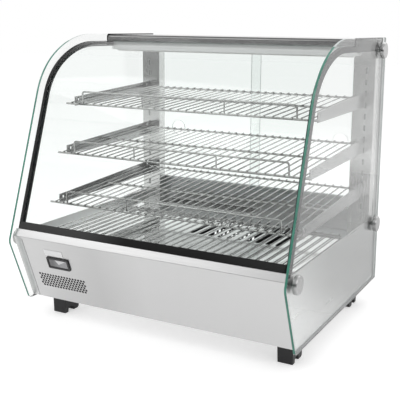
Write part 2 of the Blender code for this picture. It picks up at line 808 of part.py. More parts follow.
def make_posts():
    """The slotted uprights at the back corners."""
    foot = DECK_TOP + FIT_GAP
    path = [
        (POST_X - POST_WIDTH, POST_REAR_Y),
        (POST_X - POST_WIDTH, POST_FRONT_Y),
        (POST_X, POST_FRONT_Y),
        (POST_X, POST_REAR_Y),
    ]
    section = folded(path, POST_WALL)
    heights = [SLOT_FIRST_HEIGHT + index * SLOT_PITCH for index in range(SLOT_COUNT)]
    hole = circle(cap_places()[2], CAP_SHANK_RADIUS + FIT_GAP, CAP_STEPS)
    for side, word in ((-1, "left"), (1, "right")):
        loop = [(side * x, y) for x, y in section]
        post = plate("post_" + word, [loop], "Z", foot, POST_TOP, "brushed steel")
        loops = [box_at((side * SLOT_X, z), SLOT_WIDTH, SLOT_LENGTH) for z in heights]
        slots = cutter(loops, "Y", POST_FRONT_Y - OVERRUN, POST_FRONT_Y + POST_WALL + OVERRUN)
        low, high = mirrored(side, POST_X - POST_WALL - OVERRUN, POST_X + OVERRUN)
        cut(post, slots, cutter([hole], "X", low, high))


def shelf_datum(word):
    """The height of a shelf's rear cross wire, and its place on the Y axis."""
    hook = SLOT_FIRST_HEIGHT + int(SHELF_SLOT_SHARES[word] * SLOT_COUNT) * SLOT_PITCH
    return POST_FRONT_Y - SHELF_REAR_GAP, hook + SHELF_ABOVE_HOOK


def make_arms():
    """Tapered brackets with two hooks, two square holes and a flange under the shelf."""
    for word, depth in SHELF_DEPTH.items():
        rear_y, wire_z = shelf_datum(word)
        fall = math.tan(math.radians(SHELF_TILT))
        root = POST_FRONT_Y - FIT_GAP
        tip = rear_y - depth + ARM_SHORTER
        seat = CROSS_RADIUS + FIT_GAP
        root_top = wire_z + (root - rear_y) * fall + ARM_RISE
        tip_top = wire_z - (rear_y - tip) * fall + ARM_RISE
        floor = wire_z - ARM_ROOT_DROP
        hooks = [wire_z - SHELF_ABOVE_HOOK + step * SLOT_PITCH for step in (0, 1)]
        behind = POST_FRONT_Y + POST_WALL + FIT_GAP
        outline = [(tip, tip_top - ARM_TIP_HEIGHT), (root, floor)]
        for z in hooks:
            low = z - HOOK_HEIGHT / 2
            high = z + HOOK_HEIGHT / 2
            outline += [
                (root, low),
                (behind, low),
                (behind, low - HOOK_DROP),
                (behind + HOOK_DEPTH, low - HOOK_DROP),
                (behind + HOOK_DEPTH, high),
                (root, high),
            ]
        outline += [(root, root_top), (tip, tip_top)]
        holes = [
            box_at((tip + ARM_HOLE_INSET, tip_top - ARM_HOLE_DROP - ARM_HOLE / 2), ARM_HOLE, ARM_HOLE),
            box_at((root - ARM_HOLE_INSET, root_top - ARM_HOLE_DROP - ARM_HOLE / 2), ARM_HOLE, ARM_HOLE),
        ]
        rest = [
            (tip, tip_top - ARM_RISE - seat),
            (root - ARM_HOLE_INSET, root_top - ARM_RISE - seat - ARM_HOLE_INSET * fall),
        ]
        for side, side_word in ((-1, "left"), (1, "right")):
            low, high = mirrored(side, SLOT_X - ARM_WALL / 2, SLOT_X + ARM_WALL / 2)
            arm = plate("arm_%s_%s" % (word, side_word), [outline] + holes, "X", low, high, "bright wire")
            low, high = mirrored(side, SLOT_X - ARM_WALL / 2 - ARM_FLANGE, SLOT_X)
            flange = helper(outline_mesh([folded(rest, -ARM_WALL)], "X", low, high))
            fuse(arm, flange)


def wire_places():
    """The X places of the long wires of a rack."""
    return [(index - (WIRE_COUNT - 1) / 2) * WIRE_PITCH for index in range(WIRE_COUNT)]


def make_rack(name, depth, cross_spots, wide_front):
    """Long wires welded over cross wires. The rear cross wire lies along the local X axis."""
    lift = CROSS_RADIUS + WIRE_RADIUS - WIRE_BITE
    long_runs = [
        ((x, -depth - WIRE_OVERHANG, lift), (x, WIRE_OVERHANG, lift)) for x in wire_places()
    ]
    rack = finished(name, wires(long_runs, WIRE_RADIUS, (0, 0, 1)), "bright wire")
    cross_runs = []
    for spot in cross_spots:
        reach = FRONT_CROSS_HALF if wide_front and spot == cross_spots[0] else CROSS_HALF
        cross_runs.append(((-reach, spot, 0), (reach, spot, 0)))
    fuse(rack, helper(wires(cross_runs, CROSS_RADIUS, (0, 0, 1), CROSS_SIDES)))
    return rack


def make_rail(rack, depth):
    """The raised front rail: a bar with bent-down ends and two posts."""
    spots = wire_places()
    end = spots[RAIL_END_CELL] + WIRE_PITCH / 2
    post = spots[RAIL_POST_CELL] + WIRE_PITCH / 2
    corners = [(end, 0), (end, RAIL_HEIGHT), (-end, RAIL_HEIGHT), (-end, 0)]
    bends = rounded(corners, [0, RAIL_CORNER, RAIL_CORNER, 0])
    route = [(x, -depth, z) for x, z in bends]
    fuse(rack, helper(bent_tube(route, RAIL_RADIUS, 1)))
    posts = [((x, -depth, 0), (x, -depth, RAIL_HEIGHT)) for x in (-post, post)]
    fuse(rack, helper(wires(posts, WIRE_RADIUS, (0, 1, 0))))


def make_shelves():
    """Three tilted shelves on the arms and a level rack on the deck."""
    for word, depth in SHELF_DEPTH.items():
        rack = make_rack("shelf_" + word, depth, (-depth, -depth / 2, 0), True)
        make_rail(rack, depth)
        y, z = shelf_datum(word)
        place(rack, (0, y, z), (math.radians(SHELF_TILT), 0, 0))
    depth = FLOOR_RACK_DEPTH
    rack = make_rack("floor_rack", depth, (-depth, 0), False)
    front = DECK_FRONT_Y + SHEET + FLOOR_RACK_FRONT_GAP
    place(rack, (0, front + depth, DECK_TOP + FIT_GAP + CROSS_RADIUS))


def make_top():
    """The steel cover, its end seals, the frame under it and the lamp."""
    flange = CASE_HEIGHT - FRONT_INSET + FIT_GAP
    corners = [
        (COVER_REAR_Y, CASE_HEIGHT - COVER_REAR_DROP),
        (COVER_REAR_Y, CASE_HEIGHT),
        (COVER_Y, CASE_HEIGHT),
        (COVER_Y, flange),
    ]
    path = rounded(corners, [0, 0, COVER_RADIUS, 0])
    reach = GLASS_X - SEAL_WIDTH - 2 * FIT_GAP
    plate("top_cover", [folded(path, SHEET)], "X", -reach, reach, "brushed steel")
    for side, word in ((-1, "left"), (1, "right")):
        low, high = mirrored(side, GLASS_X - SEAL_WIDTH - FIT_GAP, GLASS_X - FIT_GAP)
        plate("top_seal_" + word, [folded(path, SEAL_WALL)], "X", low, high, "black rubber")
    front = PANE_END_Y + FIT_GAP
    rear = POST_REAR_Y + FIT_GAP
    top = CASE_HEIGHT - SEAL_WALL - FIT_GAP
    path = [(front, top), (front, FRAME_Z), (rear, FRAME_Z), (rear, FRAME_Z + FRAME_UPSTAND)]
    reach = POST_X
    inner = reach - SHEET / 2
    frame = plate("top_frame", [folded(path, SHEET)], "X", -inner, inner, "brushed steel")
    for side in (-1, 1):
        low, high = mirrored(side, reach - SHEET, reach)
        end = rectangle(
            (front + SHEET / 2, top - FRAME_END_HEIGHT),
            (POST_FRONT_Y - FIT_GAP, top - SHEET / 2),
        )
        fuse(frame, helper(outline_mesh([end], "X", low, high)))
    lamp_top = FRAME_Z - FIT_GAP
    lamp_foot = lamp_top - LAMP_HEIGHT
    end = front + LAMP_DEPTH
    path = [(front, lamp_foot), (front, lamp_top), (end, lamp_top), (end, lamp_foot)]
    reach -= SHEET + FIT_GAP
    plate("lamp_housing", [folded(path, -SHEET)], "X", -reach, reach, "brushed steel")
    middle = (front + end) / 2
    lens = circle((middle, lamp_foot + LENS_DROP), LENS_RADIUS, CAP_STEPS)
    stem = LENS_RADIUS / 2
    base = rectangle((middle - stem, lamp_foot + LENS_DROP), (middle + stem, lamp_top - SHEET - FIT_GAP))
    reach -= LENS_END_GAP
    tube_lamp = plate("lamp_lens", [lens], "X", -reach, reach, "white plastic")
    fuse(tube_lamp, helper(outline_mesh([base], "X", -reach + LENS_DROP, reach - LENS_DROP)))


# Depth of the two door panes, and the tracks that hold them
TRACK_FRONT_Y = POST_REAR_Y + SHEET + 2 * FIT_GAP
PANE_FRONT_Y = TRACK_FRONT_Y + TRACK_WALL + TRACK_CLEARANCE
PANE_REAR_Y = PANE_FRONT_Y + DOOR_WALL + DOOR_SPACE
TRACK_REAR_Y = PANE_REAR_Y + DOOR_WALL + TRACK_CLEARANCE + TRACK_WALL
TRACK_LOW = DECK_TOP + FIT_GAP + SILL_HEIGHT + FIT_GAP
TRACK_FLOOR = TRACK_LOW + TRACK_FOOT_HEIGHT + TRACK_BODY_HEIGHT
TRACK_HIGH = CASE_HEIGHT - COVER_REAR_DROP - FIT_GAP
DOOR_END_X = POST_X - POST_WIDTH + DOOR_COVER


def channels(floor, front_lip, rear_lip):
    """The two door channels of a track, from the top of its rear lip to the top of its front lip."""
    rib_front = PANE_FRONT_Y + DOOR_WALL + TRACK_CLEARANCE
    rib_rear = PANE_REAR_Y - TRACK_CLEARANCE
    return [
        (TRACK_REAR_Y, floor + rear_lip),
        (TRACK_REAR_Y - TRACK_WALL, floor + rear_lip),
        (TRACK_REAR_Y - TRACK_WALL, floor),
        (rib_rear, floor),
        (rib_rear, floor + rear_lip),
        (rib_front, floor + rear_lip),
        (rib_front, floor),
        (TRACK_FRONT_Y + TRACK_WALL, floor),
        (TRACK_FRONT_Y + TRACK_WALL, floor + front_lip),
        (TRACK_FRONT_Y, floor + front_lip),
    ]


def make_doors():
    """Two sliding panes with flush finger cups, in a top and a bottom track."""
    reach = POST_X
    body = TRACK_LOW + TRACK_FOOT_HEIGHT
    setback = TRACK_FRONT_Y + TRACK_FOOT_SETBACK
    lower = channels(TRACK_FLOOR, TRACK_LIP, TRACK_REAR_LIP)
    lower += [(TRACK_FRONT_Y, body), (setback, body), (setback, TRACK_LOW), (TRACK_REAR_Y, TRACK_LOW)]
    hollow = rectangle(
        (setback, body + TRACK_WALL),
        (TRACK_REAR_Y - TRACK_WALL, TRACK_FLOOR - TRACK_WALL),
    )
    plate("door_track_bottom", [lower, hollow], "X", -reach, reach, "aluminium")
    upper = channels(TRACK_HIGH - TRACK_WALL, -TRACK_LIP, -TRACK_LIP)
    upper += [(TRACK_FRONT_Y, TRACK_HIGH), (TRACK_REAR_Y, TRACK_HIGH)]
    plate("door_track_top", [upper], "X", -reach, reach, "aluminium")
    low = TRACK_FLOOR + FIT_GAP
    high = TRACK_HIGH - TRACK_WALL - TRACK_LIP + DOOR_BITE
    inner = DOOR_OVERLAP / 2
    for side, word, front in ((-1, "left", PANE_REAR_Y), (1, "right", PANE_FRONT_Y)):
        left, right = mirrored(side, -inner, DOOR_END_X)
        spot = (side * (DOOR_END_X - PULL_INSET), PULL_HEIGHT)
        bore = circle(spot, PULL_RADIUS + FIT_GAP, PULL_STEPS)
        loops = [rectangle((left, low), (right, high)), bore]
        plate("door_" + word, loops, "Y", front, front + DOOR_WALL, "clear glass")
        profile = [
            (0, PULL_FLOOR),
            (PULL_BORE, PULL_FLOOR),
            (PULL_BORE, DOOR_WALL + PULL_LIP),
            (PULL_RADIUS, DOOR_WALL + PULL_LIP),
            (PULL_RADIUS, 0),
            (0, 0),
        ]
        cup = turned("door_pull_" + word, profile, PULL_STEPS, "clear glass")
        place(cup, (spot[0], front, spot[1]), (-QUARTER, 0, 0))


def tray_outline(inset):
    """The rounded outline of the water pan, a distance inside its rim."""
    rear = TRACK_FRONT_Y - TRAY_REAR_GAP
    middle = (TRAY_X, rear - TRAY_DEPTH / 2)
    corners = box_at(middle, TRAY_WIDTH - 2 * inset, TRAY_DEPTH - 2 * inset)
    return rounded(corners, [TRAY_RADIUS - inset / 2] * 4)


def make_tray():
    """The water pan: its rim lies on the deck and its bowl hangs through the cut-out."""
    rim = DECK_TOP + FIT_GAP
    top = rim + TRAY_WALL
    tray = plate("water_tray", [tray_outline(0)], "Z", rim, top, "brushed steel")
    floor = rim - TRAY_DROP
    fuse(tray, helper(outline_mesh([tray_outline(TRAY_RIM)], "Z", floor, top - TRAY_WALL / 2)))
    cut(tray, cutter([tray_outline(TRAY_RIM + TRAY_WALL)], "Z", floor + TRAY_WALL, top + OVERRUN))


def make_display():
    """The bezel on the front panel and the module behind it."""
    lean = (PANEL_LEAN, 0, 0)
    spot = on_panel(DISPLAY_X, DISPLAY_DROP, 0)
    corners = box_at((0, 0), DISPLAY_WIDTH, DISPLAY_HEIGHT)
    width = DISPLAY_WIDTH - 2 * DISPLAY_BORDER
    height = DISPLAY_HEIGHT - 2 * DISPLAY_BORDER
    bezel = plate(
        "display_bezel",
        [rounded(corners, [DISPLAY_CORNER] * 4), box_at((0, 0), width, height)],
        "Z",
        FIT_GAP,
        DISPLAY_PROUD,
        "black plastic",
    )
    place(bezel, spot, lean)
    face = DISPLAY_PROUD - DISPLAY_WINDOW_RECESS
    loop = box_at((0, 0), width - 2 * FIT_GAP, height - 2 * FIT_GAP)
    module = plate("display_module", [loop], "Z", face - MODULE_DEPTH, face, "grey window")
    place(module, spot, lean)


def make_feet():
    """Four moulded feet with an arch between toe and heel, each with a stud into the base."""
    names = ("front_left", "front_right", "rear_left", "rear_right")
    top = BASE_BOTTOM - FIT_GAP
    half = FOOT_LENGTH / 2
    corners = [
        (-half, 0),
        (FOOT_TOE_LENGTH - half, 0),
        (FOOT_TOE_LENGTH - half, FOOT_ARCH_HEIGHT),
        (half - FOOT_HEEL_LENGTH, FOOT_ARCH_HEIGHT),
        (half - FOOT_HEEL_LENGTH, 0),
        (half, 0),
        (half, top),
        (-half, top),
    ]
    radii = [FOOT_CORNER, FOOT_CORNER, FOOT_ARCH_RADIUS, FOOT_ARCH_RADIUS, FOOT_CORNER]
    radii += [FOOT_ARCH_RADIUS, 0, 0]
    for name, (x, y) in zip(names, foot_places()):
        mesh = outline_mesh([rounded(corners, radii)], "X", -FOOT_TOP / 2, FOOT_TOP / 2)
        for vertex in mesh.vertices:
            share = vertex.co.z / top
            vertex.co.x *= (FOOT_BOTTOM + (FOOT_TOP - FOOT_BOTTOM) * share) / FOOT_TOP
        foot = finished("foot_" + name, mesh, "black rubber")
        stud = circle((0, 0), FOOT_STUD_RADIUS, FOOT_STEPS)
        reach = BASE_BOTTOM + SHEET + FOOT_STUD_REACH
        fuse(foot, helper(outline_mesh([stud], "Z", top - FOOT_STUD_REACH, reach)))
        place(foot, (x, y, 0), (0, 0, 2 * QUARTER if y > 0 else 0))


def switch_places():
    """The centres of the two rocker switches, as X and Z."""
    return [(KNOB_X - SWITCH_PITCH * step, CONTROL_HEIGHT) for step in (1, 2)]


def make_back_panel():
    """The rear sheet of the base, with openings for air, controls and the mains inlet."""
    loops = [rectangle((-BASE_X, BASE_BOTTOM), (BASE_X, DECK_TOP - SHEET - FIT_GAP))]
    loops.append(circle((KNOB_X, CONTROL_HEIGHT), SPINDLE_RADIUS + FIT_GAP, FOOT_STEPS))
    width = SWITCH_WIDTH - 2 * SWITCH_BORDER
    height = SWITCH_HEIGHT - 2 * SWITCH_BORDER
    for spot in switch_places():
        loops.append(box_at(spot, width + 2 * FIT_GAP, height + 2 * FIT_GAP))
    loops.append(circle((GLAND_X, GLAND_HEIGHT), GLAND_RADIUS + FIT_GAP, GLAND_STEPS))
    for row in range(BACK_SLOT_ROWS):
        z = CONTROL_HEIGHT + (row - (BACK_SLOT_ROWS - 1) / 2) * BACK_SLOT_ROW_PITCH
        for index in range(BACK_SLOTS):
            x = BACK_SLOT_X + (index - (BACK_SLOTS - 1) / 2) * BACK_SLOT_PITCH
            loops.append(box_at((x, z), BACK_SLOT_WIDTH, BACK_SLOT_LENGTH))
    plate("back_panel", loops, "Y", BACK_Y - SHEET, BACK_Y, "brushed steel")


def make_thermostat():
    """The thermostat behind the back panel and its knob, which turns on the spindle."""
    inner = BACK_Y - SHEET - FIT_GAP
    loop = box_at((KNOB_X, CONTROL_HEIGHT), THERMOSTAT_SIZE, THERMOSTAT_SIZE)
    body = plate("thermostat_body", [loop], "Y", inner - THERMOSTAT_DEPTH, inner, "black plastic")
    spindle_end = BACK_Y + KNOB_DEPTH - KNOB_WALL - FIT_GAP
    spindle = circle((KNOB_X, CONTROL_HEIGHT), SPINDLE_RADIUS, FOOT_STEPS)
    fuse(body, helper(outline_mesh([spindle], "Y", inner - OVERRUN, spindle_end)))
    bore = SPINDLE_RADIUS + FIT_GAP
    depth = KNOB_DEPTH
    profile = [
        (0, depth),
        (KNOB_GRIP_RADIUS - KNOB_WALL / 2, depth),
        (KNOB_GRIP_RADIUS, depth - KNOB_WALL / 2),
        (KNOB_GRIP_RADIUS, KNOB_SKIRT),
        (KNOB_RADIUS, KNOB_SKIRT / 2),
        (KNOB_RADIUS, FIT_GAP),
        (bore, FIT_GAP),
        (bore, depth - KNOB_WALL),
        (0, depth - KNOB_WALL),
    ]
    knob = turned("thermostat_knob", profile, KNOB_STEPS, "black plastic")
    place(knob, (KNOB_X, BACK_Y, CONTROL_HEIGHT), (-QUARTER, 0, 0))


def make_switches():
    """Two rocker switches. Each housing clips into the back panel and its rocker tips about X."""
    inner_width = SWITCH_WIDTH - 2 * SWITCH_BORDER
    inner_height = SWITCH_HEIGHT - 2 * SWITCH_BORDER
    pocket_width = inner_width - 2 * SWITCH_WALL
    pocket_height = inner_height - 2 * SWITCH_WALL
    for word, finish, spot in zip(("power", "lamp"), ("red rocker", "black plastic"), switch_places()):
        flange = plate(
            word + "_switch_housing",
            [box_at(spot, SWITCH_WIDTH, SWITCH_HEIGHT)],
            "Y",
            BACK_Y + FIT_GAP,
            BACK_Y + FIT_GAP + SWITCH_FLANGE,
            "black plastic",
        )
        box = helper(
            outline_mesh(
                [box_at(spot, inner_width, inner_height)],
                "Y",
                BACK_Y - SWITCH_DEPTH,
                BACK_Y + SWITCH_FLANGE,
            )
        )
        fuse(flange, box)
        pocket = [box_at(spot, pocket_width, pocket_height)]
        floor = BACK_Y - SWITCH_DEPTH + SWITCH_WALL
        cut(flange, cutter(pocket, "Y", floor, BACK_Y + SWITCH_FLANGE + OVERRUN))
        make_rocker(word, finish, spot, pocket_width, pocket_height, floor)


def make_rocker(word, finish, spot, width, height, floor):
    """A rocker whose two faces meet in a shallow valley. Its origin is on its pivot."""
    pivot_y = BACK_Y
    half = height / 2 - ROCKER_SIDE_GAP - ROCKER_PROUD * math.sin(math.radians(ROCKER_TILT))
    tilt = math.tan(math.radians(ROCKER_TILT))
    face = SWITCH_FLANGE + ROCKER_PROUD
    outline = [
        (face, half),
        (face - half * tilt, 0),
        (face, -half),
        (0, -half),
        (-ROCKER_BACK, -half * ROCKER_BACK_SHARE),
        (floor + FIT_GAP - pivot_y, 0),
        (-ROCKER_BACK, half * ROCKER_BACK_SHARE),
        (0, half),
    ]
    reach = width / 2 - ROCKER_SIDE_GAP
    rocker = plate(word + "_switch_rocker", [outline], "X", -reach, reach, finish)
    place(rocker, (spot[0], pivot_y, spot[1]))


def make_gland():
    """The mains inlet bush in the back panel, with its bore open."""
    inside = SHEET + GLAND_FLANGE
    profile = [
        (GLAND_BORE, GLAND_PROUD),
        (GLAND_RADIUS - GLAND_FLANGE, GLAND_PROUD),
        (GLAND_RADIUS, GLAND_FLANGE * 2),
        (GLAND_FLANGE_RADIUS, GLAND_FLANGE),
        (GLAND_FLANGE_RADIUS, FIT_GAP),
        (GLAND_RADIUS, FIT_GAP),
        (GLAND_RADIUS, -inside),
        (GLAND_BORE, -inside),
        (GLAND_BORE, GLAND_PROUD),
    ]
    gland = turned("cord_gland", profile, GLAND_STEPS, "black plastic")
    place(gland, (GLAND_X, BACK_Y, GLAND_HEIGHT), (-QUARTER, 0, 0))


def make_fan():
    """The motor on the base floor and the impeller on its shaft."""
    floor = BASE_BOTTOM + SHEET + FIT_GAP
    neck = MOTOR_HEIGHT + MOTOR_NECK
    profile = [
        (0, neck + SHAFT_HEIGHT),
        (SHAFT_RADIUS, neck + SHAFT_HEIGHT),
        (SHAFT_RADIUS, neck),
        (IMPELLER_HUB_RADIUS, neck),
        (MOTOR_RADIUS, MOTOR_HEIGHT),
        (MOTOR_RADIUS, 0),
        (0, 0),
    ]
    motor = turned("fan_motor", profile, KNOB_STEPS, "aluminium")
    place(motor, (FAN_X, FAN_Y, floor))
    bore = SHAFT_RADIUS + FIT_GAP
    profile = [
        (bore, IMPELLER_HEIGHT),
        (IMPELLER_HUB_RADIUS, IMPELLER_HEIGHT),
        (IMPELLER_HUB_RADIUS, 0),
        (bore, 0),
        (bore, IMPELLER_HEIGHT),
    ]
    hub = turned("fan_impeller", profile, KNOB_STEPS, "aluminium")
    base = floor + neck + FIT_GAP
    place(hub, (FAN_X, FAN_Y, base))
    reach = (IMPELLER_HUB_RADIUS - BLADE_BITE, IMPELLER_RADIUS)
    chord = (IMPELLER_HEIGHT - BLADE_BITE) / math.sin(math.radians(IMPELLER_PITCH))
    for index in range(IMPELLER_BLADES):
        blade = rounded(
            rectangle((reach[0], -chord / 2), (reach[1], chord / 2)),
            [0, chord / 3, chord / 3, 0],
        )
        vane = helper(outline_mesh([blade], "Z", -BLADE_WALL / 2, BLADE_WALL / 2))
        spin = Matrix.Rotation(math.tau * index / IMPELLER_BLADES, 4, "Z")
        pitch = Matrix.Rotation(math.radians(IMPELLER_PITCH), 4, "X")
        vane.matrix_local = Matrix.Translation((0, 0, IMPELLER_HEIGHT / 2)) @ spin @ pitch
        fuse(hub, vane)


def make_heater():
    """A looped heating rod that stands on two blocks behind the fan."""
    floor = BASE_BOTTOM + SHEET + FIT_GAP
    top = floor + HEATER_HEIGHT
    half = HEATER_SPAN / 2
    front = HEATER_BACK_Y - HEATER_DEPTH
    flat = rounded(
        [(-half, front), (half, front), (half, HEATER_BACK_Y), (-half, HEATER_BACK_Y)],
        [0, HEATER_BEND, HEATER_BEND, 0],
    )
    ends = rounded([(front, floor + HEATER_BLOCK / 2), (front, top)], [0, 0])
    route = [(-half, front, ends[0].y)] + [(x, y, top) for x, y in flat] + [(-half, HEATER_BACK_Y, ends[0].y)]
    rod = finished("heater_element", bent_tube(route, HEATER_RADIUS, 1), "aluminium")
    low = (-half - HEATER_BLOCK / 2, front - HEATER_BLOCK / 2)
    high = (-half + HEATER_BLOCK / 2, HEATER_BACK_Y + HEATER_BLOCK / 2)
    fuse(rod, helper(outline_mesh([rectangle(low, high)], "Z", floor, floor + HEATER_BLOCK)))


make_side_glasses()
make_caps()
make_front_glass()
make_gaskets()
make_front_panel()
finish_chassis(make_chassis())
make_deck()
make_sill()
make_posts()
make_arms()
make_shelves()
make_top()
make_doors()
make_tray()
make_display()
make_feet()
make_back_panel()
make_thermostat()
make_switches()
make_gland()
make_fan()
make_heater()
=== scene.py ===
"""Looks of a heated counter-top display case with a bent front pane and wire shelves.

Lengths are in metres. The customer stands at -Y, and the floor is at zero.
"""

import math

import bmesh
import bpy
from mathutils import Matrix, Vector


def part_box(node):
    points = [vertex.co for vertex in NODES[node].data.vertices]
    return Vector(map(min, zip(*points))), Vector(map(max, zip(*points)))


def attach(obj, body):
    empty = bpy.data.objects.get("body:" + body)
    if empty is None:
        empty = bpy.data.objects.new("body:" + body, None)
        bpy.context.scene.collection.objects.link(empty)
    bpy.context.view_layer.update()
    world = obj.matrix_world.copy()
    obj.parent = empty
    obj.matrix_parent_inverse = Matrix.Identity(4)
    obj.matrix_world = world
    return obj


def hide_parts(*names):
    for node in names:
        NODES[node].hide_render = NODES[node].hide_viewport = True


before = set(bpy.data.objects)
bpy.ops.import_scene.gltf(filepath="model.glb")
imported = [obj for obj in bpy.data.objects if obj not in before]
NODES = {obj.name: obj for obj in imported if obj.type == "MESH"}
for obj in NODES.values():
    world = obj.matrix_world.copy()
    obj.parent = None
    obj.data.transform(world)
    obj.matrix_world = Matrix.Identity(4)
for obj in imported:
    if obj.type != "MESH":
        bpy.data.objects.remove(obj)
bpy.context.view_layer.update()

# Sizes of the case that the new pieces follow
REAR_Y = 0.298
TOP_Z = 0.660
GLASS_X = 0.334
OUTER_X = 0.339
BASE_X = 0.3337
PANE_X = 0.326
POST_X = 0.3322
GAP = 0.0003
SHEET = 0.0012
DECK_Z = 0.200
COVER_Z = TOP_Z - 0.0026
BACK_Y = 0.280
GLASS_FOOT = 0.049
CHEEK_Z = 0.217

# Bend of the front pane, as it is seen from the side
SLOPE_ANGLE = math.radians(71.7)
SLOPE = Vector((0, math.cos(SLOPE_ANGLE), math.sin(SLOPE_ANGLE)))
INWARD = Vector((0, SLOPE.z, -SLOPE.y))
KNEE = Vector((0, -0.299229, 0.199))
BROW_RADIUS = 0.174
CROWN_RADIUS = 0.238
BROW_START = 161.7
BROW_END = 125.9
BROW_SPOKE = Vector((0, math.cos(math.radians(BROW_END)), math.sin(math.radians(BROW_END))))
BROW_RISE = CROWN_RADIUS * (1 - BROW_SPOKE.z) + BROW_RADIUS * (INWARD.z + BROW_SPOKE.z)
SLOPE_LENGTH = (TOP_Z - BROW_RISE - KNEE.z) / SLOPE.z
BROW_CENTRE = KNEE + SLOPE * SLOPE_LENGTH + INWARD * BROW_RADIUS
BROW_TOP = BROW_CENTRE + BROW_RADIUS * BROW_SPOKE
CROWN_CENTRE = BROW_TOP - CROWN_RADIUS * BROW_SPOKE
PANE_END_Y = 0.0955

# The bent pane and its rubber, measured from the outline inward and from the knee up the slope
PANE_INSET = 0.018
PANE_WALL = 0.006
PANE_START = 0.0385
STRIP_WALL = 0.013
RUBBER_START = 0.033
RUBBER_TOP = 0.049

# Front fascia, as it is seen from the side
PANEL_TOE = Vector((0, -0.229929, 0.055))
PANEL_FOLD = Vector((0, -0.287229, 0.2105))
LEDGE_FRONT = KNEE + INWARD * 0.011 + SLOPE * 0.0327
LEDGE_REAR = KNEE + INWARD * 0.028 + SLOPE * 0.0327
PANEL_UP = (PANEL_FOLD - PANEL_TOE).normalized()
PANEL_OUT = Vector((0, -PANEL_UP.z, PANEL_UP.y))
PANEL_LENGTH = (PANEL_FOLD - PANEL_TOE).length

# Details of the front sheet: places across it and distances down from its fold
DISPLAY_LEFT, DISPLAY_RIGHT = -0.2495, -0.1965
DISPLAY_HIGH, DISPLAY_LOW = 0.047, 0.069
SEAM_LEFT, SEAM_RIGHT = -BASE_X + 0.0205, -BASE_X + 0.0217
VENT_LEFT, VENT_HIGH = -0.290, 0.097
VENT_PITCH, VENT_ROWS, VENT_COLUMNS, VENT_RADIUS = 0.0078, 6, 17, 0.0029

# Racks
WIRES = 30
WIRE_PITCH = 0.021
WIRE_RADIUS = 0.0015
CROSS_RADIUS = 0.0025
RAIL_RADIUS = 0.0021
RAIL_HEIGHT = 0.030
WIRE_LIFT = 0.0035
WIRE_OVERHANG = 0.004
CROSS_REACH = 0.309
SHELF_REAR_Y = 0.226
SHELF_LEAN = 3.3

# Caps: their places as Y and Z, and their section
CAP_SPOTS = {"front": (-0.256, 0.200), "rear": (0.263, 0.200), "top": (0.263, 0.629)}
CAP_RADIUS = 0.0195
CAP_STEM = 0.0042
CAP_HOLE = 0.0045

# Controls on the back
DIAL = Vector((0.285, BACK_Y + GAP, 0.128))
KNOB_FACE_Y = 0.29505
INK = 0.0001
SWITCH_PLACES = (0.205, 0.245)


def on_slope(inset, height):
    """A place behind the outline and above the knee, along the slope."""
    return KNEE + INWARD * inset + SLOPE * height


def on_panel(x, drop, lift):
    """A place on the sloped front sheet, below its fold and in front of its face."""
    return PANEL_FOLD - PANEL_UP * drop + PANEL_OUT * lift + Vector((x, 0, 0))


# Mesh helpers


def pulled(work, edges, reach):
    """Draws a row of edges out into a strip of faces and gives its far edges."""
    grown = bmesh.ops.extrude_edge_only(work, edges=edges)["geom"]
    points = [item for item in grown if isinstance(item, bmesh.types.BMVert)]
    bmesh.ops.translate(work, verts=points, vec=reach)
    return [
        item for item in grown
        if isinstance(item, bmesh.types.BMEdge) and all(end in points for end in item.verts)
    ]


def swung(work, geometry, centre, degrees, steps, axis=(1, 0, 0)):
    """Swings points or edges round a centre and gives the last ones."""
    turned = bmesh.ops.spin(
        work, geom=geometry, cent=centre, axis=axis, angle=math.radians(degrees), steps=steps
    )
    kind = type(geometry[0])
    return [item for item in turned["geom_last"] if isinstance(item, kind)]


def drawn_along(work, axis, low, high):
    """Gives a flat section its thickness along one axis."""
    start = Vector((0, 0, 0))
    start["XYZ".index(axis)] = low
    bmesh.ops.translate(work, verts=work.verts, vec=start)
    reach = Vector((0, 0, 0))
    reach["XYZ".index(axis)] = high - low
    grown = bmesh.ops.extrude_face_region(work, geom=work.faces[:])["geom"]
    points = [item for item in grown if isinstance(item, bmesh.types.BMVert)]
    bmesh.ops.translate(work, verts=points, vec=reach)
    bmesh.ops.recalc_face_normals(work, faces=work.faces)


def softened(work, edges, width, segments=2):
    """Breaks sharp edges."""
    bmesh.ops.bevel(
        work,
        geom=edges,
        offset=width,
        offset_type="OFFSET",
        segments=segments,
        profile=0.5,
        affect="EDGES",
        clamp_overlap=True,
        material=-1,
    )


def sharp_edges(work, degrees=30):
    """The edges where two faces meet at more than an angle."""
    limit = math.radians(degrees)
    return [
        edge for edge in work.edges
        if len(edge.link_faces) == 2 and edge.calc_face_angle() > limit
    ]


def ring(work, places, closed=True):
    """A loop of edges through a few places."""
    points = [work.verts.new(spot) for spot in places]
    ends = zip(points, points[1:] + points[:1]) if closed else zip(points, points[1:])
    return [work.edges.new(pair) for pair in ends]


def block(work, corners, reach):
    """A block over four corners, grown by a reach."""
    faces = bmesh.ops.contextual_create(work, geom=ring(work, corners))["faces"]
    grown = bmesh.ops.extrude_face_region(work, geom=faces)["geom"]
    fresh = [item for item in grown if isinstance(item, bmesh.types.BMVert)]
    bmesh.ops.translate(work, verts=fresh, vec=reach)


def upright_plate(work, x, z, y, depth):
    """A flat plate that faces the back or the front, over a span of X and of Z."""
    corners = [(x[0], y, z[0]), (x[1], y, z[0]), (x[1], y, z[1]), (x[0], y, z[1])]
    block(work, corners, Vector((0, depth, 0)))


